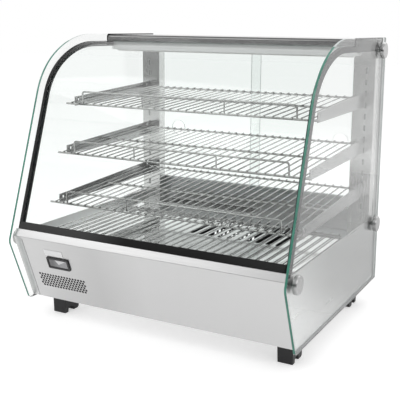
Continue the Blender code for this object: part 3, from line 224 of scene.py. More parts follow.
def level_areas(work):
    """The area of the level patch that each face is part of."""
    area = {}
    for first in work.faces:
        if first in area:
            continue
        patch = [first]
        area[first] = 0
        for face in patch:
            for other in (near for edge in face.edges for near in edge.link_faces):
                if other not in area and face.normal.angle(other.normal, 1) < 0.005:
                    area[other] = 0
                    patch.append(other)
        total = sum(face.calc_area() for face in patch)
        for face in patch:
            area[face] = total
    return area


def shaded(work, degrees):
    """Shades bends smooth. Corners and the borders of broad level faces stay crisp."""
    area = level_areas(work)
    for face in work.faces:
        face.smooth = True
    for edge in work.edges:
        if len(edge.link_faces) == 2:
            turn = edge.calc_face_angle(0)
            one, other = (area[face] for face in edge.link_faces)
            uneven = max(one, other) > 6 * min(one, other)
            edge.smooth = turn < math.radians(degrees) and not (uneven and turn > math.radians(3))


def placed(name, work, finishes):
    """Puts a finished mesh into the scene as an object."""
    mesh = bpy.data.meshes.new(name)
    work.to_mesh(mesh)
    work.free()
    for finish in finishes:
        mesh.materials.append(finish)
    shape = bpy.data.objects.new(name, mesh)
    bpy.context.scene.collection.objects.link(shape)
    return shape


def piece(name, work, body, nodes, finishes, smooth=35):
    """Hands over a finished mesh as a piece of the case."""
    shaded(work, smooth)
    shape = placed(name, work, finishes)
    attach(shape, body)
    if nodes:
        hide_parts(*nodes)


# Finishes


def new_finish(name):
    """A new finish with its node tree and its shader."""
    paint = bpy.data.materials.new(name)
    paint.use_nodes = True
    tree = paint.node_tree
    shader = tree.nodes["Principled BSDF"]
    return paint, tree, shader


def add(tree, kind, **settings):
    """A node with its settings."""
    node = tree.nodes.new(kind)
    for key, value in settings.items():
        setattr(node, key, value)
    return node


def grain(tree, scale, detail=2.0, roughness=0.5, shift=(0, 0, 0)):
    """Noise on the object's own coordinates, stretched by a scale along each axis."""
    spot = add(tree, "ShaderNodeTexCoord")
    stretch = add(tree, "ShaderNodeMapping")
    stretch.inputs["Scale"].default_value = scale
    stretch.inputs["Location"].default_value = shift
    tree.links.new(spot.outputs["Object"], stretch.inputs["Vector"])
    noise = add(tree, "ShaderNodeTexNoise")
    noise.inputs["Scale"].default_value = 1.0
    noise.inputs["Detail"].default_value = detail
    noise.inputs["Roughness"].default_value = roughness
    tree.links.new(stretch.outputs["Vector"], noise.inputs["Vector"])
    return noise.outputs["Fac"]


def spread(tree, value, low, high, start=0.3, end=0.7):
    """Maps a value onto a range and keeps it within."""
    span = add(tree, "ShaderNodeMapRange")
    span.inputs["From Min"].default_value = start
    span.inputs["From Max"].default_value = end
    span.inputs["To Min"].default_value = low
    span.inputs["To Max"].default_value = high
    tree.links.new(value, span.inputs["Value"])
    return span.outputs["Result"]


def tinted(tree, value, one, other):
    """A colour between two others. Each is a triple of numbers or an output."""
    blend = add(tree, "ShaderNodeMix", data_type="RGBA")
    for letter, colour in (("A", one), ("B", other)):
        if isinstance(colour, tuple):
            blend.inputs[letter].default_value = (*colour, 1)
        else:
            tree.links.new(colour, blend.inputs[letter])
    tree.links.new(value, blend.inputs["Factor"])
    return blend.outputs["Result"]


def relief(tree, shader, value, depth, strength):
    """A fine relief on a surface."""
    bump = add(tree, "ShaderNodeBump")
    bump.inputs["Strength"].default_value = strength
    bump.inputs["Distance"].default_value = depth
    tree.links.new(value, bump.inputs["Height"])
    tree.links.new(bump.outputs["Normal"], shader.inputs["Normal"])


def calc(tree, kind, *values):
    """A sum on numbers and outputs."""
    node = add(tree, "ShaderNodeMath", operation=kind)
    for socket, value in zip(node.inputs, values):
        if isinstance(value, (int, float)):
            socket.default_value = value
        else:
            tree.links.new(value, socket)
    return node.outputs[0]


def along(tree):
    """The object's own coordinates, one by one."""
    spot = add(tree, "ShaderNodeTexCoord")
    parts = add(tree, "ShaderNodeSeparateXYZ")
    tree.links.new(spot.outputs["Object"], parts.inputs["Vector"])
    return parts.outputs


def metal(name, dark, light, smooth, rough, scale, depth, rim=1.0):
    """Bare metal whose grain follows the way it was drawn or brushed."""
    paint, tree, shader = new_finish(name)
    shader.inputs["Metallic"].default_value = 1.0
    shader.inputs["Specular Tint"].default_value = (rim, rim, rim, 1)
    fine = grain(tree, scale, 3.0, 0.6)
    broad = grain(tree, (7, 7, 7), shift=(3, 1, 2))
    colour = tinted(tree, spread(tree, fine, 0, 1), dark, light)
    tree.links.new(colour, shader.inputs["Base Color"])
    halves = [spread(tree, value, smooth / 2, rough / 2) for value in (fine, broad)]
    tree.links.new(calc(tree, "ADD", *halves), shader.inputs["Roughness"])
    relief(tree, shader, fine, depth, 0.4)
    return paint


def ramped(tree, axis, stops, fine, mottle):
    """A grey tone from a ramp over one coordinate of the case, broken up by a fine noise."""
    low, high = stops[0][0], stops[-1][0]
    sweep = spread(tree, along(tree)[axis], -mottle / 2, 1 - mottle / 2, low, high)
    ramp = add(tree, "ShaderNodeValToRGB")
    levels = ramp.color_ramp.elements
    while len(levels) < len(stops):
        levels.new(0.5)
    for level, (place, value) in zip(levels, stops):
        level.position = (place - low) / (high - low)
        level.color = (value, value, value, 1)
    tree.links.new(calc(tree, "MULTIPLY_ADD", fine, mottle, sweep), ramp.inputs["Fac"])
    return ramp.outputs["Color"]


def painted_light_ramp(name, axis, stops, smooth, rough, scale, depth, metallic=1.0, shine=0.5):
    """Bare metal or rubber with its tone from a ramp over one coordinate of the case. The ramp is
    painted light and shade.
    """
    paint, tree, shader = new_finish(name)
    shader.inputs["Metallic"].default_value = metallic
    shader.inputs["Specular IOR Level"].default_value = shine
    fine = grain(tree, scale, 3.0, 0.6)
    tree.links.new(ramped(tree, axis, stops, fine, 0.06), shader.inputs["Base Color"])
    tree.links.new(spread(tree, fine, smooth, rough), shader.inputs["Roughness"])
    relief(tree, shader, fine, depth, 0.4)
    return paint


def display_face():
    """The display's window, with a painted reflection that is dark at one end and paler at the other,
    and a painted glare across it.
    """
    paint, tree, shader = new_finish("display window")
    place = along(tree)
    middle_x, middle_z, half_width, half_height = -0.223, 0.1557, 0.0243, 0.0083
    glare_foot_x, glare_foot_z, glare_lean, glare_flare = -0.2226, 0.1530, 0.60, 1.40

    # Painted reflection: darker toward the left end of the window.
    sweep = spread(tree, place["X"], 0, 1, middle_x - 0.015, middle_x + 0.005)
    plain = tinted(tree, sweep, (0.16, 0.16, 0.165), (0.36, 0.36, 0.37))

    # Painted glare: a pale wedge that widens upward across the window.
    rise = calc(tree, "SUBTRACT", place["Z"], glare_foot_z)
    glare_x = calc(tree, "MULTIPLY_ADD", rise, glare_lean, glare_foot_x)
    off_glare = calc(tree, "ABSOLUTE", calc(tree, "SUBTRACT", place["X"], glare_x))
    inside = calc(tree, "SUBTRACT", calc(tree, "MULTIPLY", rise, glare_flare), off_glare)
    with_painted_glare = tinted(tree, spread(tree, inside, 0, 1, 0.0, 0.0015), plain, (0.78, 0.78, 0.79))

    off_x = calc(tree, "ABSOLUTE", calc(tree, "SUBTRACT", place["X"], middle_x))
    off_z = calc(tree, "ABSOLUTE", calc(tree, "SUBTRACT", place["Z"], middle_z))
    past_x = calc(tree, "SUBTRACT", off_x, half_width)
    past_z = calc(tree, "SUBTRACT", off_z, half_height)
    past = spread(tree, calc(tree, "MAXIMUM", past_x, past_z), 0, 1, 0.0, 0.0003)
    edged = tinted(tree, past, with_painted_glare, (0.02, 0.02, 0.021))
    tree.links.new(edged, shader.inputs["Base Color"])

    smear = grain(tree, (60, 60, 60))
    tree.links.new(spread(tree, smear, 0.05, 0.10), shader.inputs["Roughness"])
    return paint


def moulded(name, dark, light, smooth, rough, scale=900, depth=0.00004, shine=0.5):
    """Moulded plastic or rubber with a fine skin texture, or the polished edge of a glass."""
    paint, tree, shader = new_finish(name)
    shader.inputs["Specular IOR Level"].default_value = shine
    fine = grain(tree, (scale, scale, scale))
    broad = grain(tree, (35, 35, 35))
    colour = tinted(tree, spread(tree, broad, 0, 1), dark, light)
    tree.links.new(colour, shader.inputs["Base Color"])
    tree.links.new(spread(tree, fine, smooth, rough), shader.inputs["Roughness"])
    relief(tree, shader, fine, depth, 0.5)
    return paint


def clear_pane(name, tint, smear, least=0.03, most=0.9):
    """Clear float glass. It mirrors more where it is seen from the side."""
    paint, tree, shader = new_finish(name)
    tree.nodes.remove(shader)
    through = add(tree, "ShaderNodeBsdfTransparent")
    through.inputs["Color"].default_value = (*tint, 1)
    mirror = add(tree, "ShaderNodeBsdfGlossy")
    mirror.inputs["Color"].default_value = (1, 1, 1, 1)
    haze = spread(tree, grain(tree, (14, 14, 14), 3.0), 0.0, smear)
    tree.links.new(haze, mirror.inputs["Roughness"])
    slant = add(tree, "ShaderNodeLayerWeight")
    fifth = calc(tree, "POWER", slant.outputs["Facing"], 5.0)
    share = calc(tree, "MULTIPLY_ADD", fifth, most, least)
    blend = add(tree, "ShaderNodeMixShader")
    tree.links.new(share, blend.inputs["Fac"])
    tree.links.new(through.outputs[0], blend.inputs[1])
    tree.links.new(mirror.outputs[0], blend.inputs[2])
    tree.links.new(blend.outputs[0], tree.nodes["Material Output"].inputs["Surface"])
    return paint


BODY_STEEL = metal(
    "brushed stainless", (0.52, 0.52, 0.525), (0.57, 0.57, 0.575), 0.28, 0.36, (9, 1400, 1400), 0.000002
)
# Painted light: the ledge is paler at the left end and darker toward the right.
LEDGE_STEEL = painted_light_ramp(
    "brushed ledge steel", "X", ((-0.34, 0.56), (-0.22, 0.54), (0.10, 0.42), (0.34, 0.40)),
    0.28, 0.36, (9, 1400, 1400), 0.000002,
)
# Painted shade: the front sheet is darker in a band left of its middle.
FASCIA_STEEL = painted_light_ramp(
    "brushed front steel", "X", ((-0.34, 0.59), (-0.12, 0.52), (0.0, 0.60), (0.34, 0.60)),
    0.28, 0.34, (9, 1400, 1400), 0.000002,
)
COVER_STEEL = metal(
    "polished cover steel", (0.60, 0.60, 0.60), (0.66, 0.66, 0.66), 0.20, 0.28, (5, 900, 900), 0.000001
)
# Painted reflection and shade: the deck is pale at both sides and darker across its middle.
DECK_STEEL = painted_light_ramp(
    "bright deck sheet", "X",
    (
        (-0.34, 0.96), (-0.25, 0.92), (-0.12, 0.90), (-0.02, 0.62), (0.19, 0.54), (0.25, 0.88),
        (0.34, 0.94),
    ),
    0.05, 0.09, (8, 500, 500), 0.0000005,
)
PAN_STEEL = metal(
    "bright pan steel", (0.70, 0.70, 0.695), (0.78, 0.78, 0.775), 0.08, 0.14, (8, 500, 500), 0.000002
)
UPRIGHT_STEEL = metal(
    "upright stainless", (0.62, 0.62, 0.615), (0.70, 0.70, 0.695), 0.20, 0.30, (900, 900, 7), 0.000002
)
CHROME_WIRE = metal(
    "plated wire", (0.27, 0.27, 0.265), (0.42, 0.42, 0.415), 0.08, 0.16, (60, 60, 60), 0.000002
)
ARM_STEEL = metal(
    "bracket steel", (0.36, 0.36, 0.36), (0.44, 0.44, 0.44), 0.20, 0.28, (300, 20, 300), 0.000001
)
# Painted shade: darker than the uprights, for the strips seen through their slots.
STRIP_STEEL = metal(
    "strip steel painted darker", (0.30, 0.30, 0.30), (0.36, 0.36, 0.36), 0.30, 0.38, (900, 900, 9), 0.000001
)
# Near-black steel: painted shade inside the base on the fan, its motor, the heater and the rear sheet's
# inner side; also on the top frame's ends.
DARK_STEEL = metal(
    "near-black steel", (0.020, 0.020, 0.021), (0.034, 0.034, 0.035), 0.40, 0.50,
    (60, 60, 60), 0.000004,
)
ALUMINIUM = metal(
    "satin aluminium", (0.56, 0.57, 0.58), (0.66, 0.67, 0.68), 0.28, 0.42, (8, 600, 600), 0.000004
)
LAMP_STEEL = metal(
    "satin lamp steel", (0.76, 0.76, 0.76), (0.84, 0.84, 0.84), 0.50, 0.60, (9, 300, 300), 0.000001
)
CAP_METAL = metal(
    "turned cap steel", (0.34, 0.34, 0.34), (0.42, 0.42, 0.42), 0.24, 0.32, (900, 900, 900), 0.000001
)
CAP_FACE = metal(
    "polished cap face", (0.46, 0.46, 0.46), (0.52, 0.52, 0.52), 0.24, 0.30, (300, 300, 300), 0.0000005
)
# Painted reflection: a dark copy of the cover steel for the cover's rolled edge at the front.
DARK_REFLECTION_EDGE = metal(
    "front edge with painted dark reflection", (0.15, 0.15, 0.15), (0.19, 0.19, 0.19), 0.22, 0.30, (5, 300, 300), 0.0000005,
    rim=0.3,
)
# Painted light: the chassis steel is paler at the left and darker toward the right.
SIDE_STEEL = painted_light_ramp(
    "rolled side steel", "X", ((-0.34, 0.82), (-0.30, 0.82), (0.30, 0.56), (0.34, 0.56)),
    0.27, 0.33, (60, 5, 60), 0.0000005,
)
# Painted reflection and shade: the right cheek is paler at the front and darker toward the rear.
CHEEK_STEEL = painted_light_ramp(
    "rolled cheek steel", "Y", ((-0.30, 0.80), (-0.20, 0.72), (-0.05, 0.58), (0.15, 0.54), (0.30, 0.53)),
    0.27, 0.33, (60, 5, 60), 0.0000005,
)
# Painted shade: a darker copy of the side steel, for faces that look left and for the rear corner lips,
# darker still toward the right.
SHADED_STEEL_COPY = painted_light_ramp(
    "steel copy painted in shade", "X", ((-0.34, 0.54), (-0.30, 0.54), (0.30, 0.40), (0.34, 0.40)),
    0.27, 0.33, (60, 60, 5), 0.0000005,
)
STRIP_RUBBER = moulded(
    "black strip rubber", (0.030, 0.030, 0.031), (0.044, 0.044, 0.045), 0.5, 0.7, shine=0.1
)
# Painted sheen: the shoe rubber is paler at the left and darkest right of the middle.
SHOE_RUBBER = painted_light_ramp(
    "shoe rubber with painted sheen", "X",
    ((-0.34, 0.058), (-0.14, 0.056), (-0.04, 0.018), (0.15, 0.018), (0.34, 0.028)),
    0.6, 0.8, (900, 900, 900), 0.00002, metallic=0.0, shine=0.02,
)
# Black rubber, and also painted shade: behind the vent and the seam, and on the walls of the vent holes.
SEAL_RUBBER_AND_SHADE = moulded(
    "dull seal rubber and painted shade", (0.013, 0.013, 0.014), (0.019, 0.019, 0.020), 0.6, 0.8, shine=0.02
)
FOOT_RUBBER = moulded(
    "moulded foot rubber", (0.014, 0.014, 0.015), (0.022, 0.022, 0.023), 0.4, 0.6, shine=0.4
)
BLACK_PLASTIC = moulded(
    "black moulded plastic", (0.016, 0.016, 0.017), (0.024, 0.024, 0.025), 0.28, 0.42, shine=0.4
)
RED_PLASTIC = moulded("red rocker plastic", (0.46, 0.020, 0.014), (0.56, 0.030, 0.022), 0.20, 0.30)
WHITE_PLASTIC = moulded("white diffuser", (0.80, 0.80, 0.78), (0.86, 0.86, 0.84), 0.30, 0.42)
WINDOW_GREY = display_face()
LABEL_FILM = moulded(
    "blank label film", (0.95, 0.96, 0.97), (0.98, 0.98, 0.98), 0.30, 0.42, 300, 0.00001
)
SIDE_PANE = clear_pane("side glass", (0.986, 0.990, 0.988), 0.02)
BENT_PANE = clear_pane("bent glass", (0.972, 0.984, 0.979), 0.02, 0.02, 0.4)
DOOR_PANE = clear_pane("door glass", (0.972, 0.984, 0.979), 0.02)
CLEAR_PLASTIC = clear_pane("clear pull plastic", (0.985, 0.988, 0.986), 0.05, 0.01, 0.15)
GREEN_EDGE = moulded(
    "green glass edge", (0.045, 0.190, 0.140), (0.075, 0.260, 0.195), 0.10, 0.20, 60, 0.00001
)
PALE_EDGE = moulded(
    "pale glass edge", (0.50, 0.54, 0.53), (0.60, 0.64, 0.63), 0.10, 0.20, 60, 0.00001
)
GREY_EDGE = moulded(
    "shaded glass edge", (0.16, 0.17, 0.17), (0.22, 0.23, 0.23), 0.10, 0.20, 60, 0.00001
)


# Glass and its rubber


def edge_kind(normal):
    """Which finish a face of a side glass takes: 0 clear, 1 green, 2 pale, 3 shaded."""
    if abs(normal.x) > 0.99:
        return 0
    if normal.z < -0.6:
        return 3
    return 1 if normal.y < -0.2 and normal.z < 0.93 else 2


def glass_outline(work):
    """The outline and the holes of a side glass. Gives the places of its corners."""
    knee = work.verts.new(KNEE)
    slope_top = work.verts.new(KNEE + SLOPE * SLOPE_LENGTH)
    work.edges.new((knee, slope_top))
    brow_top = swung(work, [slope_top], BROW_CENTRE, BROW_END - BROW_START, 16)
    crown_top = swung(work, brow_top, CROWN_CENTRE, 90 - BROW_END, 12)[0]
    top = work.verts.new((0, REAR_Y, TOP_Z))
    heel = work.verts.new((0, REAR_Y, GLASS_FOOT))
    toe = work.verts.new((0, KNEE.y + 0.0575, GLASS_FOOT))
    for pair in ((crown_top, top), (top, heel), (heel, toe), (toe, knee)):
        work.edges.new(pair)
    for y, z in CAP_SPOTS.values():
        hole = Matrix.Translation((0, y, z)) @ Matrix.Rotation(math.radians(90), 4, "Y")
        bmesh.ops.create_circle(work, segments=24, radius=CAP_HOLE, matrix=hole)
    return [corner.co.copy() for corner in (top, heel, toe, knee)]


def side_glass(side, word):
    """One clear side panel with rounded corners, three holes and polished edges."""
    work = bmesh.new()
    places = glass_outline(work)
    bmesh.ops.triangle_fill(work, edges=work.edges[:], use_beauty=True, normal=(1, 0, 0))
    low, high = (GLASS_X, OUTER_X) if side > 0 else (-OUTER_X, -GLASS_X)
    drawn_along(work, "X", low, high)
    for spot, cut in zip(places, (0.005, 0.005, 0.006, 0.00713)):
        corner = [
            edge for edge in work.edges
            if all((end.co.yz - spot.yz).length < 1e-5 for end in edge.verts)
        ]
        softened(work, corner, cut, 6)
    bmesh.ops.dissolve_limit(work, angle_limit=0.002, verts=work.verts, edges=work.edges)
    rims = [
        edge for edge in sharp_edges(work, 60)
        if abs(edge.verts[0].co.x - edge.verts[1].co.x) < 1e-6
    ]
    softened(work, rims, 0.0006)
    for face in work.faces:
        face.material_index = edge_kind(face.normal)
    piece(
        "clear_side_" + word, work, "case", ["side_glass_" + word],
        [SIDE_PANE, GREEN_EDGE, PALE_EDGE, GREY_EDGE],
    )


def bent_section(inset, depth, start):
    """The section of a strip that runs up the slope, round the brow and back over the top."""
    work = bmesh.new()
    front = ring(work, [on_slope(inset, start), on_slope(inset + depth, start)], closed=False)
    front = pulled(work, front, SLOPE * (SLOPE_LENGTH - start))
    front = swung(work, front, BROW_CENTRE, BROW_END - BROW_START, 18)
    front = swung(work, front, CROWN_CENTRE, 90 - BROW_END, 14)
    pulled(work, front, Vector((0, PANE_END_Y - front[0].verts[0].co.y, 0)))
    return work


def bent_pane():
    """The bent front pane."""
    work = bent_section(PANE_INSET, PANE_WALL, PANE_START)
    drawn_along(work, "X", -PANE_X + GAP, PANE_X - GAP)
    softened(work, sharp_edges(work, 60), 0.0006)
    for face in work.faces:
        middle = face.calc_center_median()
        side = abs(face.normal.x) > 0.7
        foot = abs(face.normal.dot(SLOPE)) > 0.7 and middle.z < 0.3
        back = face.normal.y > 0.7 and middle.y > PANE_END_Y - 0.001
        face.material_index = 2 if side or foot else 1 if back else 0
    finishes = [BENT_PANE, PALE_EDGE, SEAL_RUBBER_AND_SHADE]
    piece("clear_front", work, "case", ["front_glass"], finishes)


def side_rubber(side, word):
    """The black strip between the bent pane and a side glass."""
    work = bent_section(PANE_INSET, STRIP_WALL, RUBBER_START)
    low, high = (PANE_X, GLASS_X - GAP) if side > 0 else (-GLASS_X + GAP, -PANE_X)
    drawn_along(work, "X", low, high)
    softened(work, sharp_edges(work, 60), 0.0008)
    piece("rubber_strip_" + word, work, "case", ["gasket_" + word], [STRIP_RUBBER])


def lower_rubber():
    """The grooved rubber shoe that the bent pane stands in."""
    work = bmesh.new()
    toe, face, back, heel = 0.011, PANE_INSET - GAP, PANE_INSET + PANE_WALL + GAP, 0.028
    groove = PANE_START - GAP
    places = [
        (toe, RUBBER_START), (heel, RUBBER_START), (heel, RUBBER_TOP), (back, RUBBER_TOP),
        (back, groove), (face, groove), (face, RUBBER_TOP), (face - 0.002, RUBBER_TOP), (toe, 0.040),
    ]
    edges = ring(work, [on_slope(inset, height) for inset, height in places])
    bmesh.ops.triangle_fill(work, edges=edges, use_beauty=True, normal=(1, 0, 0))
    drawn_along(work, "X", -PANE_X + GAP, PANE_X - GAP)
    softened(work, sharp_edges(work), 0.0005)
    piece("rubber_shoe", work, "case", ["gasket_bottom"], [SHOE_RUBBER])


# Folded sheet


def folded_on(work, edges, path, bend, steps=5):
    """Carries the end of a sheet along a path, with a round bend at each corner."""
    for index, corner in enumerate(path[1:], 1):
        before = (corner - path[index - 1]).normalized()
        start = edges[0].verts[0].co.copy()
        start.x = 0
        if index == len(path) - 1:
            return pulled(work, edges, corner - start)
        after = (path[index + 1] - corner).normalized()
        turn = math.atan2(before.y * after.z - before.z * after.y, before.dot(after))
        setback = bend * math.tan(abs(turn) / 2)
        edges = pulled(work, edges, corner - before * setback - start)
        inner = Vector((0, -before.z, before.y)) * math.copysign(bend, turn)
        edges = swung(work, edges, corner - before * setback + inner, math.degrees(turn), steps)
    return edges


def rectangle(work, left, right, low, high):
    """A loop of edges over a span of X and of Y."""
    ring(work, [(left, low, 0), (right, low, 0), (right, high, 0), (left, high, 0)])


def fascia_face(work, setback):
    """The flat of the front sheet on its slope, with the display's cut-out, the vent and a seam."""
    rectangle(work, -BASE_X, BASE_X, -PANEL_LENGTH, -setback)
    rectangle(work, DISPLAY_LEFT, DISPLAY_RIGHT, -DISPLAY_LOW, -DISPLAY_HIGH)
    rectangle(work, SEAM_LEFT, SEAM_RIGHT, -PANEL_LENGTH + 0.002, -0.006)
    for row in range(VENT_ROWS):
        for column in range(VENT_COLUMNS - row % 2):
            x = VENT_LEFT + VENT_PITCH * (column + 0.5 * (row % 2))
            y = -VENT_HIGH - VENT_PITCH * 0.80 * row
            spot = Matrix.Translation((x, y, 0))
            bmesh.ops.create_circle(work, segments=12, radius=VENT_RADIUS, matrix=spot)
    bmesh.ops.triangle_fill(work, edges=work.edges[:], use_beauty=True, normal=(0, 0, 1))
    stand = Matrix(((1, 0, 0), (0, PANEL_UP.y, PANEL_OUT.y), (0, PANEL_UP.z, PANEL_OUT.z))).to_4x4()
    stand.translation = PANEL_FOLD
    bmesh.ops.transform(work, matrix=stand, verts=work.verts)
    for face in work.faces:
        if face.normal.dot(PANEL_OUT) < 0:
            face.normal_flip()


def fascia_kind(face):
    """Which finish a face of the front sheet takes: 1 walls of the holes, painted near-black as shade, 2
    the ledge, 0 the rest.
    """
    middle = face.calc_center_median()
    across = abs(face.normal.dot(PANEL_OUT)) < 0.5 and face.calc_area() < 0.00001
    if across and middle.z < 0.125 and abs(middle.x) < 0.32:
        return 1
    return 2 if middle.z > 0.2112 else 0


def front_fascia():
    """The front sheet, folded back to the ledge and down behind the bent pane's shoe."""
    bend, crease = 0.0025, 0.0012
    lean = (LEDGE_FRONT - PANEL_FOLD).normalized()
    setback = bend * math.tan(PANEL_UP.angle(lean) / 2)
    work = bmesh.new()
    fascia_face(work, setback)
    rim = [
        edge for edge in work.edges
        if edge.calc_length() > 2 * BASE_X - 0.001 and edge.verts[0].co.z > 0.15
    ]
    axis = PANEL_FOLD - PANEL_UP * setback - PANEL_OUT * bend
    turn = math.atan2(PANEL_UP.y * lean.z - PANEL_UP.z * lean.y, PANEL_UP.dot(lean))
    rim = swung(work, rim, axis, math.degrees(turn), 5)
    folded_on(work, rim, [PANEL_FOLD + lean * setback, LEDGE_FRONT, LEDGE_REAR], crease, 3)
    inner = Vector((POST_X - GAP, 0, 0))
    tail = ring(work, [LEDGE_REAR - inner, LEDGE_REAR + inner], closed=False)
    foot = Vector((0, LEDGE_REAR.y, 0.1985))
    folded_on(work, tail, [LEDGE_REAR, foot, foot + Vector((0, 0.012, 0))], crease, 3)
    bmesh.ops.solidify(work, geom=work.faces[:], thickness=SHEET)
    for face in work.faces:
        face.material_index = fascia_kind(face)
    finishes = [FASCIA_STEEL, SEAL_RUBBER_AND_SHADE, LEDGE_STEEL]
    piece("front_fascia", work, "case", ["front_panel"], finishes)


def panel_block(work, left, right, high, low, lift, reach):
    """A flat block on the slope of the front sheet, between two distances below its fold."""
    corners = [
        on_panel(left, low, lift), on_panel(right, low, lift),
        on_panel(right, high, lift), on_panel(left, high, lift),
    ]
    block(work, corners, PANEL_OUT * reach)


def painted_vent_shade():
    """Painted shade: dark strips behind the vent and behind the seam, standing for the shade inside the
    base.
    """
    work = bmesh.new()
    for left, right, high, low in ((-0.296, -0.150, 0.091, 0.136), (-0.3157, -0.3097, 0.004, 0.164)):
        panel_block(work, left, right, high, low, -0.0040, -0.0008)
    bmesh.ops.recalc_face_normals(work, faces=work.faces)
    piece("painted_vent_shade", work, "case", [], [SEAL_RUBBER_AND_SHADE])


def blank_label():
    """The bare plate above the display."""
    work = bmesh.new()
    panel_block(work, -0.2555, -0.2055, 0.0240, 0.0390, GAP, 0.0004)
    bmesh.ops.recalc_face_normals(work, faces=work.faces)
    standing = [
        edge for edge in work.edges
        if abs((edge.verts[0].co - edge.verts[1].co).normalized().dot(PANEL_OUT)) > 0.9
    ]
    softened(work, standing, 0.0008, 3)
    piece("blank_plate_front", work, "case", [], [LABEL_FILM])


def side_folds():
    """The folded lips of the side sheets, along the floor edge and up the rear corner."""
    rear, low, high = 0.2970, 0.0492, 0.0557
    lower_outlines = [[(-0.2395, low), (rear, low), (rear, high), (-0.2297, high)]]
    rear_outlines = [
        [(near, foot), (rear, foot), (rear, head), (near, head)]
        for near, foot, head in ((0.2775, 0.0559, CHEEK_Z), (0.2688, CHEEK_Z + 0.0002, 0.6415))
    ]
    for name, outlines, finish in (
        ("side_lower_lips", lower_outlines, SIDE_STEEL),
        ("side_rear_lips", rear_outlines, SHADED_STEEL_COPY),
    ):
        work = bmesh.new()
        for side in (-1, 1):
            x = side * (BASE_X - SHEET)
            reach = Vector((side * (SHEET + 0.0001), 0, 0))
            for outline in outlines:
                block(work, [(x, y, z) for y, z in outline], reach)
        bmesh.ops.recalc_face_normals(work, faces=work.faces)
        softened(work, sharp_edges(work, 60), 0.0002)
        # Faces that look left take the darker copy of the steel, painted shade.
        for face in work.faces:
            face.material_index = 1 if face.normal.x < -0.7 else 0
        piece(name, work, "case", [], [finish, SHADED_STEEL_COPY])


def slot_backings():
    """The inner strips of the uprights, which close their slots from behind. They are darker than the
    uprights, painted shade seen through the slots.
    """
    work = bmesh.new()
    half_width = 0.0085
    for middle in (-0.307, 0.307):
        span = (middle - half_width, middle + half_width)
        upright_plate(work, span, (0.204, 0.632), 0.2457, 0.0008)
    bmesh.ops.recalc_face_normals(work, faces=work.faces)
    softened(work, sharp_edges(work, 60), 0.0002)
    piece("upright_inner_strips", work, "case", [], [STRIP_STEEL])


def cover():
    """The folded steel cover behind the bent pane."""
    front_y, rear_y, bend = 0.0765, 0.2915, 0.007
    path = [
        Vector((0, front_y, TOP_Z - 0.0177)), Vector((0, front_y, COVER_Z)),
        Vector((0, rear_y, COVER_Z)), Vector((0, rear_y, TOP_Z - 0.018)),
    ]
    reach = Vector((GLASS_X - 0.0037 - 2 * GAP, 0, 0))
    work = bmesh.new()
    edges = ring(work, [path[0] - reach, path[0] + reach], closed=False)
    folded_on(work, edges, path, bend, 8)
    bmesh.ops.recalc_face_normals(work, faces=work.faces)
    bmesh.ops.solidify(work, geom=work.faces[:], thickness=SHEET)
    # The rolled edge at the front takes the dark copy of the steel, a painted dark reflection.
    for face in work.faces:
        rolled = face.normal.y < -0.05 and face.normal.z > 0.05
        face.material_index = 1 if rolled and face.calc_center_median().y < 0.09 else 0
    piece("steel_cover", work, "case", ["top_cover"], [COVER_STEEL, DARK_REFLECTION_EDGE])


# Wire shelves


def wire(work, start, end, radius, sides=10):
    """A straight wire."""
    start, end = Vector(start), Vector(end)
    run = end - start
    turn = run.to_track_quat("Z", "Y").to_matrix().to_4x4()
    bmesh.ops.create_cone(
        work, cap_ends=True, segments=sides, radius1=radius, radius2=radius, depth=run.length,
        matrix=Matrix.Translation((start + end) / 2) @ turn,
    )


def bent_wire(work, route, radius, bend, sides=10):
    """A wire bent in one plane across X, with its corners rounded."""
    start, second = Vector(route[0]), Vector(route[1])
    run = (second - start).normalized()
    turn = run.to_track_quat("Z", "Y").to_matrix().to_4x4()
    made = bmesh.ops.create_circle(
        work, cap_ends=True, segments=sides, radius=radius, matrix=Matrix.Translation(start) @ turn
    )
    edges = list(dict.fromkeys(edge for vertex in made["verts"] for edge in vertex.link_edges))
    here = start
    for index in range(1, len(route)):
        corner = Vector(route[index])
        before = (corner - Vector(route[index - 1])).normalized()
        if index == len(route) - 1:
            edges = pulled(work, edges, corner - here)
            bmesh.ops.contextual_create(work, geom=edges)
            return
        after = (Vector(route[index + 1]) - corner).normalized()
        angle = before.angle(after)
        axis = before.cross(after).normalized()
        setback = bend * math.tan(angle / 2)
        edges = pulled(work, edges, corner - before * setback - here)
        centre = corner - before * setback + axis.cross(before) * bend
        edges = swung(work, edges, centre, math.degrees(angle), 5, axis)
        here = corner + after * setback


def rack(name, node, depth, cross_rows, place, lean, rail):
    """A shelf of long wires welded onto cross wires, with a raised rail along its front."""
    work = bmesh.new()
    for index in range(WIRES):
        x = (index - (WIRES - 1) / 2) * WIRE_PITCH
        start, end = (x, -depth - WIRE_OVERHANG, WIRE_LIFT), (x, WIRE_OVERHANG, WIRE_LIFT)
        wire(work, start, end, WIRE_RADIUS, 8)
    for row, reach in cross_rows:
        wire(work, (-reach, row, 0), (reach, row, 0), CROSS_RADIUS, 12)
    if rail:
        heights = (0, RAIL_HEIGHT, RAIL_HEIGHT, 0)
        route = [(side * 13 * WIRE_PITCH, -depth, z) for side, z in zip((-1, -1, 1, 1), heights)]
        bent_wire(work, route, RAIL_RADIUS, 0.006)
        for x in (-5 * WIRE_PITCH, 5 * WIRE_PITCH):
            wire(work, (x, -depth, 0), (x, -depth, RAIL_HEIGHT), WIRE_RADIUS, 8)
    bmesh.ops.recalc_face_normals(work, faces=work.faces)
    tilt = Matrix.Translation(place) @ Matrix.Rotation(math.radians(lean), 4, "X")
    bmesh.ops.transform(work, matrix=tilt, verts=work.verts)
    piece(name, work, "case", [node], [CHROME_WIRE], 50)


